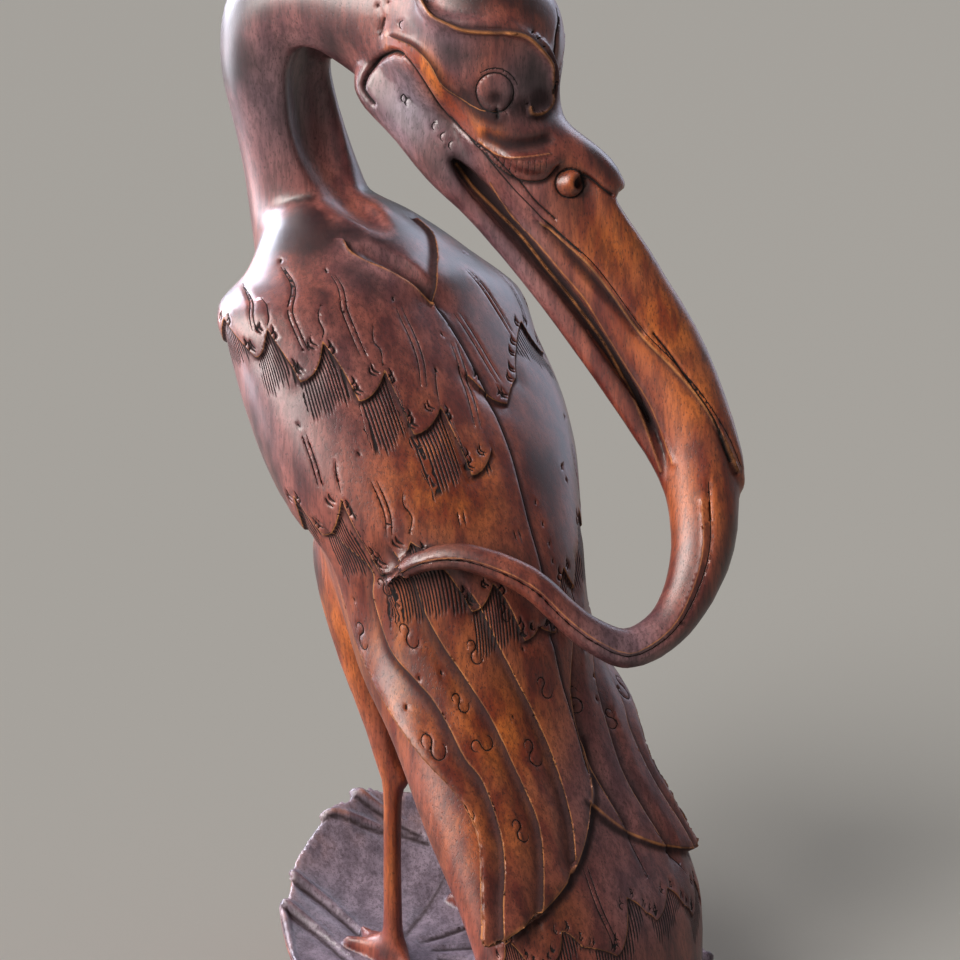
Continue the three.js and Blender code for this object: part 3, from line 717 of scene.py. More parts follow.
def limb(block, rows, side=TO_FRONT, steps=None, power=2.0):
    """A tapering oval form along a smooth path: the cells around it, and their distances.

    Each row holds a place, half the form's width there and half its depth, which lies towards
    the side given."""
    path = curve(rows, steps or 4 * len(rows))
    places, sizes = path[:, :3], np.maximum(path[:, 3:], 0.5)
    reach = sizes.max() + FAR
    cut, x, y, z = block.around(places.min(0) - reach, places.max(0) + reach)
    form = np.full(np.broadcast_shapes(x.shape, y.shape, z.shape), FAR, np.float32)
    for k in range(len(places) - 1):
        start, end = places[k], places[k + 1]
        length = np.linalg.norm(end - start)
        along = (end - start) / length
        deep = unit(side - along * side.dot(along))
        wide = np.cross(along, deep)
        near = max(sizes[k].max(), sizes[k + 1].max()) + FAR
        low, high = np.minimum(start, end) - near, np.maximum(start, end) + near
        part = tuple(
            slice(np.searchsorted(axis.ravel(), least), np.searchsorted(axis.ravel(), most))
            for axis, least, most in zip((x, y, z), low, high))
        px, py, pz = x[part[0]] - start[0], y[:, part[1]] - start[1], z[:, :, part[2]] - start[2]
        forward = px * along[0] + py * along[1] + pz * along[2]
        t = np.clip(forward / length, 0, 1)
        a = sizes[k, 0] + (sizes[k + 1, 0] - sizes[k, 0]) * t
        b = sizes[k, 1] + (sizes[k + 1, 1] - sizes[k, 1]) * t
        u = px * wide[0] + py * wide[1] + pz * wide[2]
        v = px * deep[0] + py * deep[1] + pz * deep[2]
        w, c = forward - t * length, np.minimum(a, b)
        near = oval_distance(u, v, w, a, b, c) if power == 2 else boxy_distance(u, v, w, a, b, c, power)
        form[part] = np.minimum(form[part], near)
    return cut, form


def ball(block, centre, sizes):
    """An oval ball: the cells around it, and their distances."""
    reach = max(sizes) + FAR
    cut, x, y, z = block.around(np.array(centre) - reach, np.array(centre) + reach)
    return cut, oval_distance(x - centre[0], y - centre[1], z - centre[2], *sizes)


def sliced(rows, x, y, z):
    """Distance to a form of level oval slices, and the degrees round it from the wing side."""
    cx, cy, across, through = [values.astype(np.float32) for values in eased(rows, z)]
    u = (x - cx) * LEFTWARD[0] + (y - cy) * LEFTWARD[1]
    v = (x - cx) * BACKWARD[0] + (y - cy) * BACKWARD[1]
    degrees = np.degrees(np.arctan2(v / through, u / across))
    return oval_distance(u, v, 0, across, through, 1.0), degrees, across, through


def add_torso(block):
    """The long body with its tail, down to the leaf."""
    top, bottom = BODY_SLICES[0][0], BODY_SLICES[-1][0]
    cut, x, y, z = block.between(bottom, top + 4)
    distance, _, _, _ = sliced(BODY_SLICES, x, y, z)
    block.add(cut, np.maximum(distance, z - top).astype(np.float32), 0.5)


def chart_height(z, far):
    """The far wing's tip is a little higher, so its places on the wing are found lower down."""
    if not far:
        return z
    rate = FAR_WING_TIP_RISE / (FAR_WING_RISE_BELOW - WING_TIP)
    return np.where(z < FAR_WING_RISE_BELOW, (z - rate * FAR_WING_RISE_BELOW) / (1 - rate), z)


def mirrored(degrees):
    """Degrees round from the far wing's side, for degrees round from the near wing's."""
    return (180 - degrees + 180) % 360 - 180


def add_wing(block, far):
    """A closed wing: a slab on the body between its leading and trailing edge and its tip."""
    cut, x, y, z = block.between(WING_TIP - 12, WING_TOP)
    distance, degrees, across, through = sliced(WING_SLICES, x, y, z)
    if far:
        distance = distance + FAR_WING_UNDER * (1 - smoothstep(z, *FAR_WING_UNDER_ENDS))
        degrees = mirrored(degrees)
    distance = distance + WING_ROOT_SINKS * smoothstep(z, *WING_ROOT_SINKS_OVER)
    height = chart_height(z, far)
    root = smoothstep(height, WING_FREE_BELOW, WING_ROOT_ABOVE)
    thickness = WING_THICKNESS + (WING_ROOT_THICKNESS - WING_THICKNESS) * root
    turn = np.radians(degrees)
    a_degree = np.radians(np.hypot(across * np.sin(turn), through * np.cos(turn)))
    before = (eased(WING_LEAD, height)[0] - degrees) * a_degree
    after = (degrees - eased(WING_TRAIL, height)[0]) * a_degree
    rim = soft_max(np.maximum(before, after) * WING_EDGE_SLOPE, WING_TIP - height, 3.0)
    slab = soft_max(np.maximum(distance, -distance - thickness), rim, 3.0)
    block.add(cut, slab.astype(np.float32), 0.8)


def rim_of(degrees):
    """The leaf's rim: its radius with the points, its height, and its radius without them."""
    radius, height = eased(RIM_ROWS, degrees % 360)
    pointed = np.zeros_like(radius)
    for tip, length in LEAF_TIPS:
        away = np.abs((degrees - tip + 180) % 360 - 180)
        pointed = np.maximum(pointed, length * np.exp(-away / TIP_SPREAD))
    return radius + pointed, height, radius


def leaf_top(x, y):
    """Height of the leaf's upper side, radius and height of its rim, and how far out a place is."""
    out = np.hypot(x - BASE_MIDDLE[0], y - BASE_MIDDLE[1])
    degrees = np.degrees(np.arctan2(y - BASE_MIDDLE[1], x - BASE_MIDDLE[0]))
    radius, height, plain_radius = rim_of(degrees)
    share = np.minimum(out / plain_radius, 1.0)
    return LEAF_FLOOR + (height - LEAF_FLOOR) * share ** LEAF_TURNS_UP, radius, height, out


def leaf_form(x, y, z):
    """How far a place is outside the leaf alone, and how far out from the leaf's middle."""
    top, radius, height, out = leaf_top(x, y)
    beyond, width = out - FOOT_RADIUS + FOOT_INSIDE_LEAF, radius - FOOT_RADIUS + FOOT_INSIDE_LEAF
    spread = np.clip(beyond / np.maximum(width, FOOT_INSIDE_LEAF), 0, 1.2)
    under = LEAF_UNDER + (height - LEAF_THICKNESS - LEAF_UNDER) * spread ** LEAF_UNDER_RISES
    return soft_max(soft_max((z - top) * 0.9, (under - z) * 0.7, 2.0), out - radius, 3.0), out


def add_leaf(block):
    """The wavy leaf and the round foot under it."""
    cut, x, y, z = block.between(BLOCK_LOW[2], LEAF_HIGHEST)
    leaf, out = leaf_form(x, y, z)
    foot = np.maximum(np.maximum(out - FOOT_RADIUS, -z), z - FOOT_TOP)
    chamfer = np.maximum(foot, (out - FOOT_RADIUS + (z - FOOT_SHOULDER) * FOOT_SLOPE) * 0.8)
    block.add(cut, leaf.astype(np.float32), 1.0)
    block.add(cut, chamfer.astype(np.float32), 2.0)


def true_leaf(points):
    """Draws the points of the leaf onto its own form, which is thinner than the cells tell well."""
    near = (points[:, 2] > FOOT_SHOULDER) & (points[:, 2] < LEAF_HIGHEST)
    chosen = np.nonzero(near)[0][np.abs(leaf_form(*points[near].T)[0]) < 1.4]
    place = points[chosen]
    for _ in range(4):
        here = leaf_form(*place.T)[0]
        slope = np.zeros_like(place)
        for axis in range(3):
            step = np.zeros(3)
            step[axis] = 0.2
            slope[:, axis] = (leaf_form(*(place + step).T)[0] - leaf_form(*(place - step).T)[0]) / 0.4
        place = place - slope * np.clip(here / np.maximum((slope ** 2).sum(1), 0.3), -1, 1)[:, None]
    points[chosen] = place
    return points


def leaf_rim(points):
    """Which points lie on the outer face of the leaf."""
    _, radius, _, out = leaf_top(points[:, 0], points[:, 1])
    return (np.abs(out - radius) < 3.5) & (points[:, 2] > 24) & (points[:, 2] < 108)


def add_leg(block, far):
    """A leg with its hock and toes. The far one leans a little from the hock up."""
    rows = []
    for k, (x, y, z, wide, deep) in enumerate(LEG_ROWS):
        place = np.array((x, y, z), float)
        if far:
            place = place + FAR_LEG_OFFSET + FAR_LEG_TILT * max(0, 1 - k / HOCK_ROW)
        rows.append((*place, wide, deep))
    block.add(*limb(block, rows), 5.0)
    hock = np.array(rows[HOCK_ROW][:3]) + HOCK_SHIFT
    block.add(*ball(block, hock, HOCK_SIZE), 3.0)
    foot = np.array(rows[-1][:3])
    for turn in TOE_TURNS:
        add_toe(block, foot, turn)


def add_toe(block, foot, turn):
    """A toe that lies on the leaf, turned so many degrees from straight ahead."""
    angle = math.radians(turn)
    away_x = -BACKWARD[0] * math.cos(angle) + BACKWARD[1] * math.sin(angle)
    away_y = -BACKWARD[0] * math.sin(angle) - BACKWARD[1] * math.cos(angle)
    reach = TOE_LENGTH * (BACK_TOE_SHARE if turn == 180 else 1)
    rows = []
    for share in (0, 0.35, 0.7, 1):
        x, y = foot[0] + away_x * reach * share, foot[1] + away_y * reach * share
        z = float(leaf_top(x, y)[0]) + 6 - share * 3
        rows.append((x, y, z, TOE_RADIUS * (1.1 - share * 0.6), TOE_RADIUS * (1.2 - share * 0.5)))
    block.add(*limb(block, rows, UPWARD), 6.0)


def add_neck_and_head(block):
    """The last value of each line says how softly the form joins what is there."""
    block.add(*limb(block, NECK_ROWS), 12.0)
    block.take(*limb(block, NECK_HOLLOW_ROWS), 3.0)
    block.add(*ball(block, *CROWN), 6.0)
    block.add(*limb(block, FACE_ROWS), 6.0)
    add_beak(block)
    for side in (-1, 1):
        add_face(block, side)
        cut_mouth(block, side)


def add_beak(block):
    """The curling beak, its sheath, the nose that overhangs it and its lower half."""
    block.add(*limb(block, BEAK_ROWS, steps=84), 4.0)
    block.add(*limb(block, SHEATH_ROWS), 2.0)
    block.add(*limb(block, NOSE_ROWS), 4.0)
    block.add(*ball(block, NOSE_END, NOSE_END_SIZE), 3.0)
    block.take(*limb(block, NOSE_UNDERCUT), 1.5)
    block.add(*limb(block, LOWER_BEAK_ROWS, power=3.5), 0.8)


def on_head(x, out, z, side):
    """A place so far out from the head's middle, on one of its sides."""
    return x, head_middle(z) + side * out, z


def add_face(block, side):
    """Brow, lip, eye and nostril on one side of the head."""
    for rows in (BROW_ROWS, LIP_ROWS):
        placed = [(*on_head(x, out, z, side), wide, deep) for x, out, z, wide, deep in rows]
        block.add(*limb(block, placed), 2.5)
    block.add(*ball(block, on_head(*EYE, side), EYE_BALL), 2.5)
    x, out, z = NOSTRIL
    block.add(*ball(block, on_head(x, out + NOSTRIL_OUT, z, side), (NOSTRIL_RADIUS,) * 3), 1.0)
    hole = np.array(on_head(x, out + NOSTRIL_HOLE_OUT, z, side)) + NOSTRIL_HOLE_SHIFT
    block.take(*ball(block, hole, NOSTRIL_HOLE), 0.6)


def cut_mouth(block, side):
    """The slot between the halves of the beak, cut from one side."""
    rows = []
    for x, z, half in MOUTH_ROWS:
        middle = HEAD_MIDDLE_Y - max(0, x - MOUTH_TURNS_FROM) * MOUTH_TURNS
        y = middle + side * (MOUTH_OUT - x * MOUTH_NARROWS)
        rows.append((x, y, z, half * MOUTH_WIDER, MOUTH_DEPTH))
    block.take(*limb(block, rows), 0.8)


def roughed_out():
    """The whole bird and its base as one block of cells."""
    block = Block()
    add_torso(block)
    for far in (False, True):
        add_wing(block, far)
        add_leg(block, far)
    block.take(*limb(block, NAPE_SCOOP_ROWS), 2.0)
    add_leaf(block)
    add_neck_and_head(block)
    return block


def thinned(points, faces, share):
    """The same skin with fewer triangles where it is flat."""
    mesh = bpy.data.meshes.new("rough")
    mesh.from_pydata(points.tolist(), [], faces.tolist())
    piece = bpy.data.objects.new("rough", mesh)
    bpy.context.scene.collection.objects.link(piece)
    thin = piece.modifiers.new("thin", "DECIMATE")
    thin.ratio = share
    thin.use_collapse_triangulate = True
    done = piece.evaluated_get(bpy.context.evaluated_depsgraph_get()).to_mesh()
    points = np.empty(len(done.vertices) * 3)
    done.vertices.foreach_get("co", points)
    faces = np.empty(len(done.polygons) * 3, np.int32)
    done.polygons.foreach_get("vertices", faces)
    bpy.data.objects.remove(piece)
    bpy.data.meshes.remove(mesh)
    return points.reshape(-1, 3), faces.reshape(-1, 3).astype(np.int64)


def normals_of(points, faces):
    """The way out of the skin at each point."""
    a, b, c = points[faces[:, 0]], points[faces[:, 1]], points[faces[:, 2]]
    across = np.cross(b - a, c - a)
    total = np.zeros_like(points)
    for corner in range(3):
        for axis in range(3):
            total[:, axis] += np.bincount(faces[:, corner], across[:, axis], len(points))
    return unit(total)


class Skin:
    """Points of the surface with their outward directions, ready to be searched by height."""

    def __init__(self, points, normals):
        self.points, self.normals = points, normals
        self.order = np.argsort(points[:, 2])
        self.heights = points[self.order, 2]

    def within(self, low, high):
        """Numbers of the points between two corners."""
        first, last = np.searchsorted(self.heights, (low[2], high[2]))
        chosen = self.order[first:last]
        across = self.points[chosen, 0]
        chosen = chosen[(across > low[0]) & (across < high[0])]
        through = self.points[chosen, 1]
        return chosen[(through > low[1]) & (through < high[1])]


class Cut:
    """Lines that one tool works along.

    shape is vee, bowl, bead or ledge, or a broad touch of colour alone: painted shade, or rub for rubbed
    wood. run is how far a ledge slopes back, and low says which side of it is cut down, 1 for the left as
    the line runs. taper thins a line towards its end, or towards both. fine is the side of a triangle that
    the line wants. dark and bright widen the shade painted in a cut and the light edge beside it, which is
    partly a painted highlight and partly wear where the wood is rubbed. A flat cut is worked from both
    sides of the head, by x and z alone, where y lies within HEAD_Y. An up cut is worked only where the skin
    faces up."""

    def __init__(self, lines, shape, width, depth, run=0.0, low=1, fine=1.2, taper="", dark=1.0,
                 bright=0.5, flat=False, up=False):
        lines = [np.array(line, float) for line in lines]
        self.starts = np.vstack([line[:-1] for line in lines])
        self.ends = np.vstack([line[1:] for line in lines])
        self.sizes = np.concatenate([self.tapered(len(line) - 1, taper) for line in lines])
        self.shape, self.width, self.depth = shape, width, depth
        self.run, self.low, self.flat, self.fine = run, low, flat, fine
        self.dark, self.bright, self.up = dark, bright, up
        self.reach = run * 2.4 if shape == "ledge" else width
        self.sharp = shape in ("vee", "bead", "ledge")

    @staticmethod
    def tapered(count, taper):
        """How thick the line is at both ends of each of its pieces, as a share."""
        place = np.linspace(0, 1, count + 1)
        if taper == "end":
            size = 1.1 - 0.85 * place ** 1.5
        elif taper == "both":
            size = 0.35 + 0.75 * np.sin(math.pi * place) ** 0.7
        else:
            size = np.ones(count + 1)
        return np.stack([size[:-1], size[1:]], 1)

    def near(self, skin, reach):
        """Points that the lines pass near: distance, side, way to the line, and its size there."""
        best = np.full(len(skin.points), np.inf)
        score = best.copy()
        side = np.zeros(len(best))
        size = np.ones(len(best))
        way = np.zeros((len(best), 3))
        for start, end, ends in zip(self.starts, self.ends, self.sizes):
            low, high = np.minimum(start, end) - reach, np.maximum(start, end) + reach
            if self.flat:
                low[1], high[1] = HEAD_Y
            chosen = skin.within(low, high)
            if len(chosen) == 0:
                continue
            distance, across, back, t = self.measure(skin, chosen, start, end)
            rank = distance - 1e-3 * np.abs(across)
            closer = (rank < score[chosen]) & (distance < reach)
            chosen = chosen[closer]
            best[chosen], score[chosen] = distance[closer], rank[closer]
            side[chosen], way[chosen] = np.sign(across[closer]), back[closer]
            size[chosen] = ends[0] + (ends[1] - ends[0]) * t[closer]
        found = np.nonzero(best < reach)[0]
        return found, best[found], side[found], way[found], size[found]

    def measure(self, skin, chosen, start, end):
        facing = np.broadcast_to(TO_FRONT, (len(chosen), 3)) if self.flat else skin.normals[chosen]
        along = end - start
        away = skin.points[chosen] - start
        if self.flat:
            along = along * (1, 0, 1)
            away = away * (1, 0, 1)
        t = np.clip(away.dot(along) / max(along.dot(along), 1e-6), 0, 1)
        away = away - t[:, None] * along
        if not self.flat:
            deep = (away * facing).sum(1)
            away = away - deep[:, None] * facing
            away[np.abs(deep) > DEEPEST] += 1e3
        across = (away * np.cross(facing, unit(along))).sum(1)
        return np.linalg.norm(away, axis=1), across, -away, t

    def height(self, distance, side, size):
        """How far the tool moves the surface out, in millimetres."""
        width, depth = self.width * size, self.depth * size
        if self.shape == "ledge":
            wall = smoothstep(distance, 0.0, self.width)
            return np.where(side == self.low, -depth * wall * np.exp(-(distance / self.run) ** 2), 0)
        if self.shape == "vee":
            return -depth * np.clip(1 - distance / np.maximum(width, self.fine), 0, 1)
        round_form = np.clip(1 - (distance / width) ** 2, 0, 1) ** 2
        return {"bead": depth, "bowl": -depth}.get(self.shape, 0.0) * round_form

    def weight(self, skin, chosen):
        """A flat cut fades where the head turns away from its side, and an up cut below an edge."""
        if self.up:
            return smoothstep(skin.normals[chosen, 2], 0.1, 0.4)
        if self.flat:
            return smoothstep(np.abs(skin.normals[chosen, 1]), 0.12, 0.45)
        return np.ones(len(chosen))


def wanted_lengths(cuts, bend, points, normals):
    """How long a triangle's side may be at each point, for its cuts and for how it bends."""
    flat = np.abs(leaf_form(*points.T)[0]) < 2
    wanted = COARSE - (COARSE - FINE_BEND) * smoothstep(np.abs(bend(points)) * (1 - flat), 0.08, 0.45)
    wanted = np.where(brushes(points)[0] > -1, np.minimum(wanted, BRUSH_FINE), wanted)
    skin = Skin(points, normals)
    for cut in cuts:
        if not cut.sharp and cut.depth == 0:
            continue
        chosen, distance, _, _, _ = cut.near(skin, cut.width + 3)
        length = cut.fine + FINE_SPREAD * np.maximum(0, distance - cut.width * 0.8)
        wanted[chosen] = np.minimum(wanted[chosen], length)
    return wanted


def sides_of(points, faces):
    """Every side of the triangles once: its two ends, and its number at each corner of each face."""
    corners = np.vstack([faces[:, [0, 1]], faces[:, [1, 2]], faces[:, [2, 0]]])
    corners.sort(axis=1)
    keys, which = np.unique(corners[:, 0] * len(points) + corners[:, 1], return_inverse=True)
    return keys // len(points), keys % len(points), which.reshape(3, -1).T


def split_once(points, normals, faces, wanted, cuts, bend):
    """Halves the sides that are too long, worst first, and gives None when there is none."""
    a, b, which = sides_of(points, faces)
    excess = np.linalg.norm(points[a] - points[b], axis=1) / np.minimum(wanted[a], wanted[b])
    room = (MOST_TRIANGLES - CROSSING_ROOM - len(faces)) // 2
    worst = np.argsort(-excess)[:max(room, 0)]
    worst = worst[excess[worst] > TOO_LONG]
    if len(worst) == 0:
        return None
    number = np.full(len(a), -1)
    number[worst] = np.arange(len(worst)) + len(points)
    a, b = a[worst], b[worst]
    middle_normals = unit(normals[a] + normals[b])
    bulge = ((points[b] - points[a]) * (normals[b] - normals[a])).sum(1)[:, None] / 8
    middles = (points[a] + points[b]) / 2 + middle_normals * bulge
    points = np.vstack([points, middles])
    normals = np.vstack([normals, middle_normals])
    wanted = np.concatenate([wanted, wanted_lengths(cuts, bend, middles, middle_normals)])
    return points, normals, split_faces(points, faces, number[which]), wanted


def split_at_lines(points, normals, faces, cuts):
    """Splits each side that crosses a line where it crosses, so that edges run along the line."""
    for cut in cuts:
        if not cut.sharp:
            continue
        found, distance, side, _, _ = cut.near(Skin(points, normals), cut.fine * 2.2)
        signed = np.full(len(points), np.nan)
        signed[found] = distance * side
        a, b, which = sides_of(points, faces)
        with np.errstate(invalid="ignore"):
            crossing = signed[a] * signed[b] < 0
        length = np.linalg.norm(points[a] - points[b], axis=1)
        share = np.abs(signed[a]) / np.maximum(np.abs(signed[a]) + np.abs(signed[b]), 1e-9)
        crossing &= (share * length > LEAST_PART) & ((1 - share) * length > LEAST_PART)
        chosen = np.nonzero(crossing)[0][:max((MOST_TRIANGLES - len(faces)) // 2, 0)]
        number = np.full(len(a), -1)
        number[chosen] = np.arange(len(chosen)) + len(points)
        t = share[chosen][:, None]
        new_points = points[a[chosen]] * (1 - t) + points[b[chosen]] * t
        new_normals = unit(normals[a[chosen]] * (1 - t) + normals[b[chosen]] * t)
        points, normals = np.vstack([points, new_points]), np.vstack([normals, new_normals])
        faces = split_faces(points, faces, number[which])
    return points, normals, faces


def split_faces(points, faces, mids):
    """New triangles for old ones whose sides have gained a point, numbered in mids, or -1 for none."""
    count = (mids >= 0).sum(1)
    made = [faces[count == 0]]
    one = count == 1
    turn = np.argmax(mids[one] >= 0, axis=1)
    v, m = turned(faces[one], turn), turned(mids[one], turn)
    made += [np.stack([v[:, 0], m[:, 0], v[:, 2]], 1), np.stack([m[:, 0], v[:, 1], v[:, 2]], 1)]
    two = count == 2
    turn = (np.argmin(mids[two], axis=1) + 1) % 3
    v, m = turned(faces[two], turn), turned(mids[two], turn)
    made.append(np.stack([m[:, 0], v[:, 1], m[:, 1]], 1))
    first = np.linalg.norm(points[v[:, 0]] - points[m[:, 1]], axis=1)
    second = np.linalg.norm(points[m[:, 0]] - points[v[:, 2]], axis=1)
    short = first < second
    made += [
        np.stack([v[short, 0], m[short, 0], m[short, 1]], 1),
        np.stack([v[short, 0], m[short, 1], v[short, 2]], 1),
        np.stack([v[~short, 0], m[~short, 0], v[~short, 2]], 1),
        np.stack([m[~short, 0], m[~short, 1], v[~short, 2]], 1)]
    v, m = faces[count == 3], mids[count == 3]
    made += [
        np.stack([v[:, 0], m[:, 0], m[:, 2]], 1), np.stack([m[:, 0], v[:, 1], m[:, 1]], 1),
        np.stack([m[:, 2], m[:, 1], v[:, 2]], 1), m]
    return np.vstack(made)


def turned(rows, turn):
    """Rows of three that each start at their own turn."""
    return rows[np.arange(len(rows))[:, None], (turn[:, None] + np.arange(3)) % 3]


def refined(points, faces, cuts, block, bend):
    """A skin fine enough to carve: small triangles along every line, large ones between."""
    normals = normals_of(points, faces)
    wanted = wanted_lengths(cuts, bend, points, normals)
    for _ in range(REFINE_ROUNDS):
        result = split_once(points, normals, faces, wanted, cuts, bend)
        if result is None:
            break
        points, normals, faces, wanted = result
    points = true_leaf(evened(block.settled(points, 3), faces, 1))
    points = true_leaf(evened(points, faces, 1))
    at_rim = leaf_rim(points)
    points[at_rim] = evened(points, faces, 2)[at_rim]
    normals = normals_of(points, faces)
    for cut in cuts:
        if not cut.sharp:
            continue
        found, distance, _, way, _ = cut.near(Skin(points, normals), cut.fine)
        close = distance < DRAWN_WITHIN * wanted[found]
        points[found[close]] += way[close]
    return split_at_lines(points, normals, faces, cuts)


def carved(points, normals, cuts):
    """Moves the skin as the tools do. Gives how far each point is from the nearest line where shade is
    painted into a cut or hollow, and from the nearest sharp edge, which gets a light edge that is partly a
    painted highlight and partly rubbed wood, in widths of the tool, up to CLEAR, and how much it is rubbed."""
    skin = Skin(points, normals)
    moved = np.zeros(len(points))
    marks = {name: np.full(len(points), CLEAR) for name in ("shaded_groove", "painted_shade", "edge")}
    rubbed = np.zeros(len(points))

    def mark(name, chosen, widths):
        marks[name][chosen] = np.minimum(marks[name][chosen], widths)

    for cut in cuts:
        found, distance, side, _, size = cut.near(skin, max(cut.reach, min(cut.width * CLEAR, 14)))
        weight = cut.weight(skin, found)
        moved[found] += cut.height(distance, side, size) * weight
        widths = np.where(weight > 0.3, distance / (cut.width * size), CLEAR)
        # Vee lines, bowls, shade-only marks and the low sides of ledges paint shade into the colour; beads
        # and the high sides of ledges paint a light edge, partly highlight and partly rubbed stain.
        if cut.shape == "bead":
            if cut.bright:
                mark("edge", found, widths / cut.bright)
        elif cut.shape == "vee":
            mark("shaded_groove", found, widths / cut.dark)
        elif cut.shape in ("bowl", "stain"):
            mark("painted_shade", found, widths * 1.6 / cut.dark)
        elif cut.shape == "rub":
            touch = cut.dark * weight * smoothstep(-distance, -cut.width, 0)
            rubbed[found] = np.maximum(rubbed[found], touch)
        else:
            on_line = distance < 0.2
            below = distance / cut.run * 2 / cut.dark
            mark("painted_shade", found, np.where((side == cut.low) | on_line, below, CLEAR))
            if cut.bright:
                mark("edge", found, np.where((side != cut.low) | on_line, distance / cut.bright, CLEAR))
    return points + normals * moved[:, None], marks, rubbed


def on_wing(places, far=False):
    """Points of a wing from heights and degrees round."""
    places = np.array(places, float)
    height, degrees = places[:, 0], places[:, 1]
    if far:
        below = np.maximum(0, FAR_WING_RISE_BELOW - height) / (FAR_WING_RISE_BELOW - WING_TIP)
        height, degrees = height + below * FAR_WING_TIP_RISE, 180 - degrees
    x, y, across, through = eased(WING_SLICES, height)
    turn = np.radians(degrees)
    out = FAR_WING_UNDER if far else 0
    flat = np.cos(turn)[:, None] * (across - out)[:, None] * LEFTWARD
    flat = flat + np.sin(turn)[:, None] * (through - out)[:, None] * BACKWARD
    return flat + np.stack([x, y, height], 1)


def smoothed(places, parts=5):
    """A smooth line through places, with so many parts from one to the next."""
    return curve(places, parts * (len(places) - 1))


def beside(places, degrees):
    """The same line, turned a little round the wing or body."""
    return [(height, turn + degrees) for height, turn in places]


def commas(edge, place):
    """Pairs of short curved nicks standing on the feather side of a pointed edge."""
    made = []
    for (z0, a0), (z1, a1) in zip(edge[:-1], edge[1:]):
        falling = z1 < z0
        for share in NICK_SHARES:
            for twin in (0, NICK_TWIN):
                z, a = z0 + (z1 - z0) * (share + twin), a0 + (a1 - a0) * (share + twin)
                lean = 1.0 if falling else -1.0
                nick = [(z + 0.9, a + 0.4 * lean), (z + 2.4, a + 2.0 * lean), (z + 4.8, a + 1.7 * lean)]
                made.append(place(smoothed(nick, 3)))
    return made


def tongues(edge):
    """The pointed edge of a row of feathers with its sides bowed, so each feather ends in a tongue."""
    made = [edge[0]]
    for (z0, a0), (z1, a1) in zip(edge[:-1], edge[1:]):
        bow = (BOW_FALLING if z1 < z0 else BOW_RISING) * abs(z1 - z0)
        for t in (0.2, 0.4, 0.6, 0.8, 1.0):
            made.append((z0 + (z1 - z0) * t + bow * 4 * t * (1 - t), a0 + (a1 - a0) * t))
    return made


def brush(edge, height, degrees, lean, drop):
    """Fine strokes that hang like a brush from each notch of a row of feathers.

    Gives two values that change evenly over the surface: how far a place is inside the brush,
    above 0 within it, and its place across the strokes, one for each stroke."""
    rim = sorted((a, z) for z, a in tongues(edge))
    rim_turn, rim_height = [row[0] for row in rim], [row[1] for row in rim]
    low_turn, low_height = [], []
    for k in range(0, len(edge) - 1):
        left, right = edge[max(k - 1, 0)], edge[k + 1]
        if edge[k][0] >= left[0] and edge[k][0] > right[0]:
            low_turn += [left[1] + 0.1, right[1] - 0.1]
            low_height += [min(right[0], left[0] - 6) - drop, right[0] - drop * 0.2]
    start = degrees + lean * (np.interp(degrees, rim_turn, rim_height) - height)
    below = np.interp(start, rim_turn, rim_height) - height
    above = height - np.interp(start, low_turn, low_height)
    inside = np.minimum(below / 2.5, above / 12)
    inside[(start < rim_turn[0] + 1) | (start > rim_turn[-1] - 1)] = -1
    return np.clip(inside, -1, 1), start / STROKE_SPACING


def brushes(points):
    """The strokes of all the rows of feathers on both wings and the tail."""
    x, y, z = points.T
    distance, degrees, _, _ = sliced(WING_SLICES, x, y, z)
    on_wings = np.abs(distance) < 5
    on_near, on_far = on_wings & (degrees < 92), on_wings & (degrees > 94)
    far_height, far_degrees = chart_height(z, True), mirrored(degrees)
    body_distance, body_degrees, _, _ = sliced(BODY_SLICES, x, y, z)
    on_tail = (np.abs(body_distance) < 4) & (z < 130)
    inside, stroke = np.full(len(points), -1.0), degrees / STROKE_SPACING
    rows = [
        (on_near, UPPER_COVERTS, z, degrees, STROKE_LEAN, UPPER_DROP),
        (on_near, LOWER_COVERTS, z, degrees, STROKE_LEAN, LOWER_DROP),
        (on_far, FAR_UPPER_COVERTS, far_height, far_degrees, 0.0, FAR_UPPER_DROP),
        (on_far, LOWER_COVERTS, far_height, far_degrees, 0.0, FAR_LOWER_DROP),
        (on_tail, TAIL_EDGE, z, body_degrees, 0.0, TAIL_DROP),
    ]
    for there, edge, height, turn, lean, drop in rows:
        share, place = brush(edge, height, turn, lean, drop)
        chosen = there & (share > inside)
        inside[chosen], stroke[chosen] = share[chosen], place[chosen]
    return inside, stroke


def dots(places, far):
    """Short pricks, each as long as the tool is wide."""
    made = []
    for height, turn in places:
        made.append(on_wing([(height + DOT_SIZE, turn), (height - DOT_SIZE, turn + DOT_SIZE * 0.4)], far))
    return made


def scroll(height, degrees, size, turned):
    """A hook above and a wider hook below it, curled the other way."""
    across = math.radians(turned)
    made = []
    for t in np.linspace(-1, 1, 19):
        radius = size * (0.75 if t < 0 else 1.0)
        angle = math.radians(-90 - 270 * t if t < 0 else 90 + 250 * t)
        u, v = radius * math.cos(angle), radius * (math.sin(angle) + (1 if t < 0 else -1))
        u, v = u * math.cos(across) - v * math.sin(across), u * math.sin(across) + v * math.cos(across)
        made.append((height + v, degrees + u / MM_A_DEGREE))
    return made


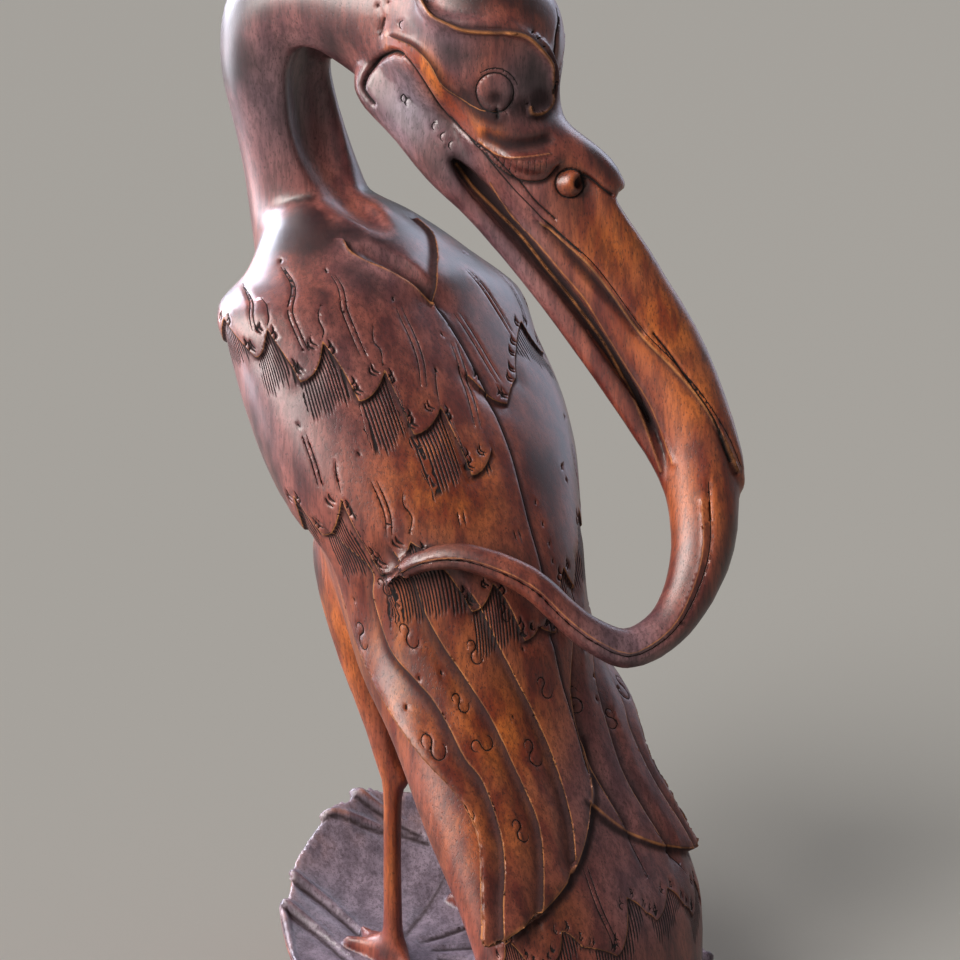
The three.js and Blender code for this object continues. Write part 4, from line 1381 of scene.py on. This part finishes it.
def wing_cuts(far):
    """Feather edges, covert edges, shafts, scrolls, nicks and dots of one wing."""
    def place(rows):
        return on_wing(rows, far)

    low = 1 if far else -1
    uppers = FAR_UPPER_COVERTS if far else UPPER_COVERTS
    lead, trail = WING_LEAD[LEAD_BEAD_FROM:], WING_TRAIL[FAR_TRAIL_BEAD_FROM if far else TRAIL_BEAD_FROM:]
    rims = [place(smoothed(lead)), place(smoothed(trail))]
    shade = [place(smoothed(beside(lead, -2))), place(smoothed(beside(trail, 2)))]
    shafts = []
    for shaft in FAR_SHAFTS if far else UPPER_SHAFTS + LOWER_SHAFTS:
        shafts += [place(smoothed(shaft)), place(smoothed(beside(shaft, SHAFT_GAP)))]
    if not far:
        shafts += [place(smoothed(wave)) for wave in NOTCH_WAVES]
    scrolls = [place(scroll(*row)) for row in (FAR_SCROLLS if far else SCROLLS)]
    feathers = [place(smoothed(edge)) for edge in FEATHER_EDGES]
    coverts = [place(tongues(uppers)), place(tongues(LOWER_COVERTS))]
    nicks = commas(uppers, place) + commas(LOWER_COVERTS, place)
    return [
        # The rims' beads carry a painted highlight, and a strip of painted shadow lies beside each rim.
        Cut(rims, "bead", 1.4, 0.5, fine=1.6, bright=0.6),
        Cut(shade, "stain", 2.4, 0.0, fine=3.0, dark=1.4),
        Cut(feathers, "ledge", 2.2, 2.4, run=9, low=low, fine=1.3),
        Cut(coverts, "ledge", 1.2, 1.6, run=6, low=low, fine=1.2, dark=0.7, bright=0.4),
        Cut(shafts, "vee", 0.75, 0.55, fine=1.2, taper="both"),
        Cut(scrolls, "vee", 0.85, 0.55, fine=1.2, taper="both"),
        Cut(nicks, "vee", 1.1, 0.9, fine=0.9, dark=1.2, taper="both"),
        Cut(dots(FAR_DOTS if far else FEATHER_DOTS, far), "vee", 1.1, 0.8, fine=1.2),
    ]


def back_cuts():
    """The border between the wings down the backbone, and the folds round the nape."""
    border, lip = [on_wing(smoothed(BACKBONE))], [on_wing(smoothed(SCOOP_LIP))]
    return [
        Cut(border, "ledge", 1.6, 1.1, run=7, low=1, fine=1.4, dark=0.8, bright=0.1),
        Cut(border, "vee", 0.9, 0.8, fine=1.2),
        Cut(lip, "ledge", 1.6, 2.4, run=9, low=1, fine=1.4),
        Cut(lip, "bead", 2.0, 0.9, fine=1.4),
        Cut([on_wing(smoothed(SCOOP_FOLD))], "ledge", 1.6, 1.8, run=9, low=-1, fine=1.4),
    ]


def plane(places):
    """A smooth line on the sides of the head, from places by x and z."""
    return [(x, 0, z) for x, z in smoothed(places)]


def ring(centre, radius, parts=20):
    turns = np.linspace(0, 2 * math.pi, parts + 1)
    return [(centre[0] + radius * math.cos(t), 0, centre[1] + radius * math.sin(t)) for t in turns]


def crescents(places):
    """Small open curves, like the print of a finger nail."""
    made = []
    for x, z in places:
        made.append([(x + 2.2 * math.cos(t), 0, z + 2.2 * math.sin(t)) for t in np.linspace(1.5, 4.3, 5)])
    return made


def lip_strokes():
    """Short upright strokes that fill the lip between its two lines."""
    made = []
    for x in np.linspace(9, 32, 9):
        top = np.interp(x, [p[0] for p in LIP_UPPER], [p[1] for p in LIP_UPPER])
        low = np.interp(x, [p[0] for p in LIP_LOWER], [p[1] for p in LIP_LOWER])
        made.append([(x, 0, top - 1.6), (x - 0.6, 0, low + 1.2)])
    return made


def flat_cut(lines, shape, width, depth, **more):
    """A cut that is worked from both sides of the head, by x and z alone."""
    return Cut(lines, shape, width, depth, flat=True, **more)


def shifted(places, x, z):
    return [(px + x, pz + z) for px, pz in places]


def eye_cuts():
    """Rings round the eye, its hollow pupil, the crease below it and its shading."""
    x, z = EYE_CENTRE[0] + 1, EYE_CENTRE[1] - 3
    pupil = [(x - 0.5, 0, z), (x + 0.5, 0, z)]
    return [
        flat_cut([ring(EYE_CENTRE, EYE_RING)], "vee", 0.9, 0.8),
        flat_cut([ring(EYE_CENTRE, EYE_RING + 2.2)[1:8]], "vee", 0.7, 0.5, taper="both"),
        flat_cut([pupil], "bowl", 5.5, 1.8, fine=1.6),
        flat_cut([[(8, 0, 482), (8.5, 0, 478.5)]], "vee", 2.0, 1.4),
        # Painted shade round the eye, with no cut.
        flat_cut([plane(line) for line in EYE_SHADE], "stain", 8.0, 0.0),
    ]


def face_cuts():
    """Brow, cheek and lip of both sides of the head, and the band beside the neck."""
    return [
        flat_cut([plane(BROW_LINE)], "bead", 1.5, 1.1, bright=0.6),
        flat_cut([plane(BROW_BAND)], "bead", 3.4, 0.9, bright=0.3),
        flat_cut([plane(BROW_LINE)], "ledge", 2.0, 1.9, run=7, low=1, bright=0.2),
        flat_cut([plane(STRAP_INNER)], "vee", 1.1, 1.0),
        flat_cut([plane(STRAP_OUTER)], "vee", 0.8, 0.6),
        flat_cut([[(x - 0.4, 0, z), (x + 0.4, 0, z)] for x, z in BROW_DOTS], "vee", 1.0, 0.9),
        flat_cut([plane(CHEEK_UPPER)], "ledge", 4.0, 1.3, run=10, low=1, fine=1.8, dark=0.5, bright=0.1),
        flat_cut([plane(CHEEK_BAND)], "rub", 11.0, 0.0, dark=1.0),
        flat_cut([plane(LIP_POUCH)], "bowl", 5.0, 1.6, fine=1.5),
        flat_cut([plane(LIP_UPPER)], "bead", 1.3, 0.9, bright=0.35),
        flat_cut([[(NOSTRIL[0] - 1, 0, NOSTRIL[2]), (NOSTRIL[0], 0, NOSTRIL[2])]], "rub", 8.0, 0.0),
        flat_cut(lip_strokes(), "vee", 0.7, 0.5, taper="both"),
        flat_cut([plane(LIP_UNDER)], "ledge", 1.2, 1.6, run=4, low=-1),
        flat_cut([plane(LIP_UNDER)], "vee", 1.0, 0.8),
        Cut(CHIP, "vee", 2.6, 0.7, dark=0.9),
    ]


def plate_and_nose_cuts():
    """The plate at the back of the beak with its nail marks, and the knob of the nose."""
    nostril = (NOSTRIL[0] - 0.5, NOSTRIL[2])
    return [
        flat_cut([plane(PLATE_END)], "vee", 2.2, 2.2),
        flat_cut([plane(PLATE_TOP)], "vee", 1.1, 1.2),
        flat_cut(crescents(PLATE_CRESCENTS), "vee", 0.7, 0.5, taper="both"),
        flat_cut([ring(nostril, NOSTRIL_RADIUS + 0.8)], "vee", 1.3, 1.2, dark=0.9),
        flat_cut([plane(KNOB_GROOVE)], "vee", 1.8, 1.8),
        flat_cut([[(48, 0, 447), (49, 0, 448)]], "bowl", 3.4, 3.0, fine=1.1, dark=1.6),
    ]


def beak_cuts():
    """The dark mouth slot, the ridge and the ribbon along the beak, and its thin side lines."""
    return [
        # Painted shade in the mouth slot, with no cut.
        flat_cut([[(x, 0, z) for x, z, _ in MOUTH_ROWS]], "stain", 3.6, 0.0, dark=1.5),
        flat_cut([plane([(x, z) for x, z, _ in MOUTH_ROWS])], "stain", 5.0, 0.0, dark=1.6),
        flat_cut([plane(shifted(SLOT_EDGE, -0.6, -0.6))], "bead", 1.2, 0.7, bright=0.7),
        flat_cut([plane(BEAK_RIDGE)], "bead", 2.2, 0.7, fine=1.4, bright=0.2),
        flat_cut([plane(BEAK_RECESS)], "bowl", 4.5, 2.0, fine=1.5),
        flat_cut([plane(BEAK_RIBBON)], "bead", 1.3, 0.7, bright=0.7),
        flat_cut([plane(BEAK_RIBBON)], "ledge", 1.4, 1.6, run=5, low=-1, bright=0.2),
        flat_cut([plane(shifted(BEAK_RIBBON, 1.8, 1.5))], "vee", 0.6, 0.4, dark=0.8),
        flat_cut([plane(THIN_UPPER)], "vee", 0.8, 0.6),
        flat_cut([plane(THIN_LOWER)], "vee", 1.3, 1.1),
    ]


def head_cuts():
    """Everything that is carved into the head and the straight part of the beak."""
    return face_cuts() + eye_cuts() + plate_and_nose_cuts() + beak_cuts()


def round_limb(rows, degrees, first, last, steps=40):
    """A line along a limb, so many degrees round it, between two shares of its length."""
    path = curve(rows, LIMB_STEPS)
    places, sizes = path[:, :3], path[:, 3:]
    along = unit(np.gradient(places, axis=0))
    deep = unit(TO_FRONT - along * along.dot(TO_FRONT)[:, None])
    wide = np.cross(along, deep)
    turn = math.radians(degrees)
    line = places + wide * sizes[:, :1] * math.cos(turn) + deep * sizes[:, 1:] * math.sin(turn)
    return line[np.linspace(first * LIMB_STEPS, last * LIMB_STEPS, steps).astype(int)]


def curl_cuts():
    """The crease and the bright ridge that run out along the curled end of the beak."""
    return [
        Cut([round_limb(BEAK_ROWS, 97, 0.42, 0.97)], "vee", 2.0, 0.9, fine=1.8, dark=0.35),
        Cut([round_limb(BEAK_ROWS, 84, 0.44, 0.98)], "bead", 1.8, 0.6, fine=1.8, bright=0.2),
    ]


def on_body(places):
    """Points of the body from heights and degrees round."""
    places = np.array(places, float)
    x, y, across, through = eased(BODY_SLICES, places[:, 0])
    turn = np.radians(places[:, 1])[:, None]
    flat = np.cos(turn) * across[:, None] * LEFTWARD + np.sin(turn) * through[:, None] * BACKWARD
    return flat + np.stack([x, y, places[:, 0]], 1)


def tail_cuts():
    """The pointed edge across the tail with its nicks, and the shafts of its feathers."""
    edge = [on_body(tongues(TAIL_EDGE))]
    shafts = [on_body(smoothed(line)) for line in TAIL_LINES]
    for shaft in TAIL_SHAFTS:
        shafts += [on_body(smoothed(shaft)), on_body(smoothed(beside(shaft, SHAFT_GAP)))]
    return [
        Cut(edge, "ledge", 1.0, 0.8, run=4, low=-1, fine=1.5, dark=0.6, bright=0.1),
        Cut(shafts, "vee", 0.8, 0.5, fine=1.4, taper="both"),
        Cut(commas(TAIL_EDGE, on_body), "vee", 0.8, 0.6, fine=1.3, dark=0.8, taper="both"),
    ]


def on_rim(degrees, share=1.0):
    """A place on the leaf's rim, or a share of the way out to it, and the rim's height."""
    radius, height, _ = rim_of(np.array(float(degrees)))
    reach, turn = float(radius) * share, math.radians(degrees)
    return BASE_MIDDLE[0] + reach * math.cos(turn), BASE_MIDDLE[1] + reach * math.sin(turn), float(height)


def straight_fold(degrees):
    """A fold from one of the leaf's points towards its heart."""
    x, y, _ = on_rim(degrees, FOLD_STARTS)
    return [
        (x + (LEAF_HEART[0] - x) * t, y + (LEAF_HEART[1] - y) * t) for t in np.linspace(0, FOLD_ENDS, 10)]


def leaf_cuts():
    """The leaf's raised folds with their shaded sides, and its rim, which is only made finer."""
    folds = [straight_fold(degrees) for degrees in STRAIGHT_FOLDS]
    folds += [curve(fold, 12) for fold in CURVED_FOLDS]
    crests = [[(x, y, float(leaf_top(x, y)[0])) for x, y in fold] for fold in folds]
    shades = [[(x + FOLD_SHADE[0], y + FOLD_SHADE[1], z) for x, y, z in crest] for crest in crests]
    rim = []
    for degrees in range(-10, 352):
        x, y, height = on_rim(degrees)
        rim.append((x, y, height - 2.0))
    return [
        Cut([rim], "bowl", 2.0, 0.02, fine=1.6, dark=0.01),
        Cut(shades, "bowl", 4.5, 1.3, fine=2.4, dark=0.5, up=True),
        Cut(crests, "bead", 3.4, 2.4, fine=1.8, bright=0, taper="end", up=True),
    ]


def all_cuts():
    """Everything that is carved, in the order in which the tools work."""
    wings = wing_cuts(False) + wing_cuts(True) + back_cuts()
    return head_cuts() + curl_cuts() + wings + tail_cuts() + leaf_cuts()


def touches(points, rows):
    """The strongest of many soft touches at each point."""
    total = np.zeros(len(points))
    for place, spread, strength in rows:
        total = np.maximum(total, strength * np.exp(-((points - place) ** 2).sum(1) / spread ** 2))
    return total


def stain_marks(points, normals, narrow, broad, rubbed):
    """Where the stained wood is rubbed, waxed and warm, where shade is painted into hollows along with
    darker staining in places, and where a cool lavender sheen is painted. narrow and broad are above zero
    on ridges and below it in hollows."""
    height = points[:, 2]
    off_leaf = smoothstep(height - leaf_top(points[:, 0], points[:, 1])[0], 1.5, 6)
    # The leaf's upper side gets a painted cool sheen.
    upper_side = (1 - off_leaf) * smoothstep(normals[:, 2], 0.0, 0.4) * smoothstep(height, 28, 36)
    # Painted shade in the hollows of the form.
    hollow = np.maximum(smoothstep(-narrow, 0.05, 0.4), smoothstep(-broad, 0.8, 4.0)) * off_leaf
    return {
        "rubbed": (0.25 + 0.75 * off_leaf) * smoothstep(narrow, 0.25, 0.9) * 0.6,
        "hollow": np.maximum(hollow, touches(points, SHADE_AND_DEEP_STAIN)),
        "polish": LEAST_POLISH + (1 - LEAST_POLISH) * smoothstep(height, *POLISH_FADES_OVER),
        "warm": np.maximum(touches(points, WARM), rubbed) * off_leaf,
        "painted_sheen": np.maximum(touches(points, SHEEN_TOUCHES), SHEEN_ON_LEAF * upper_side),
    }


def carved_bird(material):
    """The finished carving: block, skin, lines and marks for the stain, in the frame's metres."""
    block = roughed_out()
    ridges, hollows = block.blurred(CLOSE), block.blurred(BROAD)

    def bend(places):
        return block.sample(ridges, places)

    rough, faces = block.skin()
    rough, faces = thinned(rough, faces, SHARE_KEPT)
    cuts = all_cuts()
    skin, normals, faces = refined(rough, faces, cuts, block, bend)
    points, marks, rubbed = carved(skin, normals, cuts)
    marks.update(stain_marks(points, normals, bend(skin), block.sample(hollows, skin), rubbed))
    marks["brush"], marks["stroke"] = brushes(skin)
    mesh = bpy.data.meshes.new(PIECE)
    mesh.from_pydata(((points - BASE_MIDDLE) * MM).tolist(), [], faces.tolist())
    mesh.shade_smooth()
    for name, values in marks.items():
        layer = mesh.attributes.new(name, "FLOAT", "POINT")
        layer.data.foreach_set("value", np.asarray(values, np.float32))
    mesh.materials.append(material)
    piece = bpy.data.objects.new(PIECE, mesh)
    bpy.context.scene.collection.objects.link(piece)
    return piece


def node(tree, kind, **settings):
    """A new node, to the right of those that are there."""
    made = tree.nodes.new(kind)
    made.location = (200 * len(tree.nodes), 0)
    for name, value in settings.items():
        setattr(made, name, value)
    return made


def feed(tree, socket, value):
    """Gives a socket what another node puts out, or a plain number or colour."""
    if isinstance(value, bpy.types.NodeSocket):
        tree.links.new(value, socket)
    else:
        socket.default_value = value


def maths(tree, operation, *values):
    """What a maths node makes of sockets or plain numbers."""
    made = node(tree, "ShaderNodeMath", operation=operation)
    for socket, value in zip(made.inputs, values):
        feed(tree, socket, value)
    return made.outputs[0]


def ranged(tree, value, low, high, first, last):
    """A number carried smoothly from one range to another."""
    made = node(tree, "ShaderNodeMapRange", interpolation_type="SMOOTHSTEP")
    for socket, number in zip(made.inputs, (value, low, high, first, last)):
        feed(tree, socket, number)
    return made.outputs[0]


def mixed(tree, share, first, second):
    """Two colours mixed by a share."""
    made = node(tree, "ShaderNodeMix", data_type="RGBA")
    for socket, value in zip((made.inputs[0], made.inputs[6], made.inputs[7]), (share, first, second)):
        feed(tree, socket, value)
    return made.outputs[2]


def stored(tree, name):
    """A value that the mesh holds at its points."""
    return node(tree, "ShaderNodeAttribute", attribute_name=name).outputs["Fac"]


def noise(tree, place, stretch, scale, detail, roughness=0.5):
    """Cloudy noise from 0 to 1, drawn out along an axis where its stretch is below 1."""
    stretched = node(tree, "ShaderNodeMapping")
    feed(tree, stretched.inputs["Vector"], place)
    feed(tree, stretched.inputs["Scale"], stretch)
    made = node(tree, "ShaderNodeTexNoise")
    settings = {"Vector": stretched.outputs[0], "Scale": scale, "Detail": detail, "Roughness": roughness}
    for name, value in settings.items():
        feed(tree, made.inputs[name], value)
    return made.outputs[0]


def bump(tree, height, distance, strength, before=None):
    """A normal pressed in where the height is above zero, on top of the one before it."""
    made = node(tree, "ShaderNodeBump", invert=True)
    for name, value in (("Height", height), ("Distance", distance), ("Strength", strength)):
        feed(tree, made.inputs[name], value)
    if before is not None:
        feed(tree, made.inputs["Normal"], before)
    return made.outputs[0]


def shader_group(name, inputs, outputs):
    """An empty node group for shaders: the group, the node of its inputs and that of its outputs."""
    group = bpy.data.node_groups.new(name, "ShaderNodeTree")
    for in_out, names in (("INPUT", inputs), ("OUTPUT", outputs)):
        for socket in names:
            group.interface.new_socket(socket, in_out=in_out, socket_type="NodeSocketFloat")
    return group, node(group, "NodeGroupInput"), node(group, "NodeGroupOutput")


def wood_group():
    """Grain of a tropical hardwood: its figure, its short open pores and fine dark flecks."""
    inputs, outputs = ("Figure Scale", "Pore Scale", "Fleck Scale"), ("Figure", "Pores", "Flecks")
    group, given, ends = shader_group("carved_wood_grain", inputs, outputs)
    place = node(group, "ShaderNodeTexCoord").outputs["Object"]
    figure = noise(group, place, ALONG_FIGURE, given.outputs["Figure Scale"], 6.0)
    pores = noise(group, place, ALONG_PORES, given.outputs["Pore Scale"], 2.0)
    flecks = noise(group, place, ALONG_FIGURE, given.outputs["Fleck Scale"], 4.0, 0.7)
    feed(group, ends.inputs["Figure"], figure)
    feed(group, ends.inputs["Pores"], ranged(group, pores, *PORES_BETWEEN, 0.0, 1.0))
    feed(group, ends.inputs["Flecks"], ranged(group, flecks, *FLECKS_BETWEEN, 0.0, 1.0))
    return group


def brush_group():
    """Fine carved strokes: 1 in each stroke, 0 between. Brush is above 0 where there are
    strokes, and Stroke rises by one from each to the next. Their ends are uneven."""
    group, given, ends = shader_group("brush_strokes", ("Brush", "Stroke"), ("Mask",))
    chance = node(group, "ShaderNodeTexWhiteNoise", noise_dimensions="1D")
    feed(group, chance.inputs["W"], maths(group, "FLOOR", given.outputs["Stroke"]))
    shorter = maths(group, "MULTIPLY_ADD", chance.outputs["Value"], -STROKE_LACKS, given.outputs["Brush"])
    part = maths(group, "FRACT", given.outputs["Stroke"])
    from_middle = maths(group, "ABSOLUTE", maths(group, "SUBTRACT", part, 0.5))
    thick = ranged(group, shorter, *STROKE_THINS, 0.0, 1.0)
    line = ranged(group, from_middle, *STROKE_EDGE, 1.0, 0.0)
    feed(group, ends.inputs["Mask"], maths(group, "MULTIPLY", thick, line))
    return group


def new_material(name):
    """A new material, its node tree and its shader."""
    material = bpy.data.materials.new(name)
    material.use_nodes = True
    return material, material.node_tree, material.node_tree.nodes["Principled BSDF"]


def stain_colour(tree, grain, figure, shaded_groove, painted_shade):
    """The colours laid over each other, from the first coat on the stained wood to the painted shade in the
    cuts, with a painted sheen, painted shade in hollows and a painted highlight on edges among them.
    """
    # The light edge is partly a painted highlight and partly wear where the stain is rubbed off.
    edge = ranged(tree, stored(tree, "edge"), *EDGE_FADES, EDGE_LIGHT, 0.0)
    # The layers: a painted cool sheen, warm stain, pores, flecks, painted shade in hollows with some darker
    # stain, rubbed wood, painted shade in bowls and below ledges, a light edge that is partly painted
    # highlight and partly rubbed stain, and painted shade in the vee lines.
    layers = (
        (stored(tree, "painted_sheen"), mixed(tree, figure, SHEEN_DARK, SHEEN_LIGHT)),
        (stored(tree, "warm"), mixed(tree, figure, WARM_DARK, WARM_LIGHT)),
        (maths(tree, "MULTIPLY", grain.outputs["Pores"], PORES_DARK), STAIN_AND_SHADE_DARK),
        (maths(tree, "MULTIPLY", grain.outputs["Flecks"], FLECKS_DARK), STAIN_AND_SHADE_DARK),
        (maths(tree, "MULTIPLY", stored(tree, "hollow"), SHADE_AND_DEEP_STAIN_DARK), STAIN_AND_SHADE_DARK),
        (maths(tree, "MULTIPLY", stored(tree, "rubbed"), figure), RUBBED_AND_HIGHLIGHT),
        (painted_shade, STAIN_AND_SHADE_DARK),
        (maths(tree, "MULTIPLY", edge, ranged(tree, figure, 0.0, 1.0, 0.35, 1.0)), RUBBED_AND_HIGHLIGHT),
        (shaded_groove, SHADE_IN_THE_CUTS),
    )
    colour = mixed(tree, figure, STAIN_MIDDLE, STAIN_LIGHT)
    for share, layer in layers:
        colour = mixed(tree, share, colour, layer)
    return colour


def stained_wood():
    """Stained hardwood under a satin wax, which is left off the cuts."""
    material, tree, shader = new_material("stained_wood_carved")
    grain = node(tree, "ShaderNodeGroup", node_tree=wood_group())
    scales = {"Figure Scale": FIGURE_SCALE, "Pore Scale": PORE_SCALE, "Fleck Scale": FLECK_SCALE}
    for name, scale in scales.items():
        feed(tree, grain.inputs[name], scale)
    strokes = node(tree, "ShaderNodeGroup", node_tree=brush_group())
    feed(tree, strokes.inputs["Brush"], stored(tree, "brush"))
    feed(tree, strokes.inputs["Stroke"], stored(tree, "stroke"))
    figure = ranged(tree, grain.outputs["Figure"], *FIGURE_BETWEEN, 0.0, 1.0)
    # Vee lines and the carved strokes are painted near black: painted shade in the cuts.
    line = ranged(tree, stored(tree, "shaded_groove"), *GROOVE_SHADE_FADES, 1.0, 0.0)
    shaded_groove = maths(tree, "MAXIMUM", line, strokes.outputs["Mask"])
    # Painted shade in bowls, below ledges and where shade alone is marked.
    painted_shade = ranged(tree, stored(tree, "painted_shade"), *PAINTED_SHADE_FADES, PAINTED_SHADE_DARK, 0.0)
    cut = maths(tree, "MAXIMUM", shaded_groove, painted_shade)
    wax = maths(tree, "MULTIPLY", ranged(tree, cut, 0.0, 0.6, WAX, 0.0), stored(tree, "polish"))
    grooved = bump(tree, shaded_groove, *GROOVE_BUMP)
    normal = bump(tree, grain.outputs["Pores"], *PORE_BUMP, grooved)
    feed(tree, shader.inputs["Base Color"], stain_colour(tree, grain, figure, shaded_groove, painted_shade))
    feed(tree, shader.inputs["Roughness"], ranged(tree, cut, 0.0, 0.8, WOOD_ROUGHNESS, CUT_ROUGHNESS))
    feed(tree, shader.inputs["Coat Weight"], wax)
    feed(tree, shader.inputs["Normal"], normal)
    shader.inputs["Specular IOR Level"].default_value = WOOD_SPECULAR
    shader.inputs["Coat Roughness"].default_value = WAX_ROUGHNESS
    return material


def pale_floor():
    """A wide plain floor under the bird."""
    bpy.ops.mesh.primitive_plane_add(size=FLOOR_SIZE, location=(0, 0, 0))
    floor = bpy.context.object
    floor.name = "floor"
    material, _, shader = new_material("pale_floor")
    shader.inputs["Base Color"].default_value = FLOOR_COLOUR
    shader.inputs["Roughness"].default_value = 0.9
    floor.data.materials.append(material)
    return floor


def placed(name, data, place, target):
    """Puts a light or the camera at a place in metres, facing another."""
    thing = bpy.data.objects.new(name, data)
    bpy.context.scene.collection.objects.link(thing)
    thing.location = place
    way = np.array(target, float) - np.array(thing.location)
    level = math.hypot(way[0], way[1])
    thing.rotation_euler = (math.atan2(level, -way[2]), 0, math.atan2(-way[0], way[1]))
    return thing


def camera():
    """The photo's view: a little from above, through a long lens."""
    data = bpy.data.cameras.new("camera")
    data.lens = CAMERA_LENS
    x, y, z = CAMERA_TARGET
    level, rise = CAMERA_DISTANCE * math.cos(CAMERA_DROP), CAMERA_DISTANCE * math.sin(CAMERA_DROP)
    bpy.context.scene.camera = placed("camera", data, (x, y - level, z + rise), CAMERA_TARGET)


def panel(name, lit):
    """A soft round panel that lights one collection alone."""
    place, width, power, colour, target = PANELS[name]
    data = bpy.data.lights.new(name, "AREA")
    data.shape, data.size, data.energy, data.color = "DISK", width, power, colour
    light = placed(name, data, place, target)
    light.visible_camera = False
    light.light_linking.receiver_collection = lit


def studio_light(thing):
    """A pale room, a broad soft key over everything, and panels for the thing alone."""
    scene = bpy.context.scene
    scene.view_settings.view_transform = "Standard"
    scene.world = bpy.data.worlds.new("studio")
    scene.world.use_nodes = True
    room = scene.world.node_tree.nodes["Background"]
    room.inputs["Color"].default_value = ROOM_COLOUR
    room.inputs["Strength"].default_value = ROOM_POWER
    lit = bpy.data.collections.new("lit_by_panels")
    lit.objects.link(thing)
    for name in PANELS:
        panel(name, lit)
    sun = bpy.data.lights.new("soft_key", "SUN")
    sun.energy, sun.angle, sun.color = KEY_POWER, KEY_WIDTH, KEY_COLOUR
    placed("soft_key", sun, KEY_PLACE, KEY_TARGET)


bird = carved_bird(stained_wood())
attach(bird, "root")
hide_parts("carved_bird")
pale_floor()
camera()
studio_light(bird)
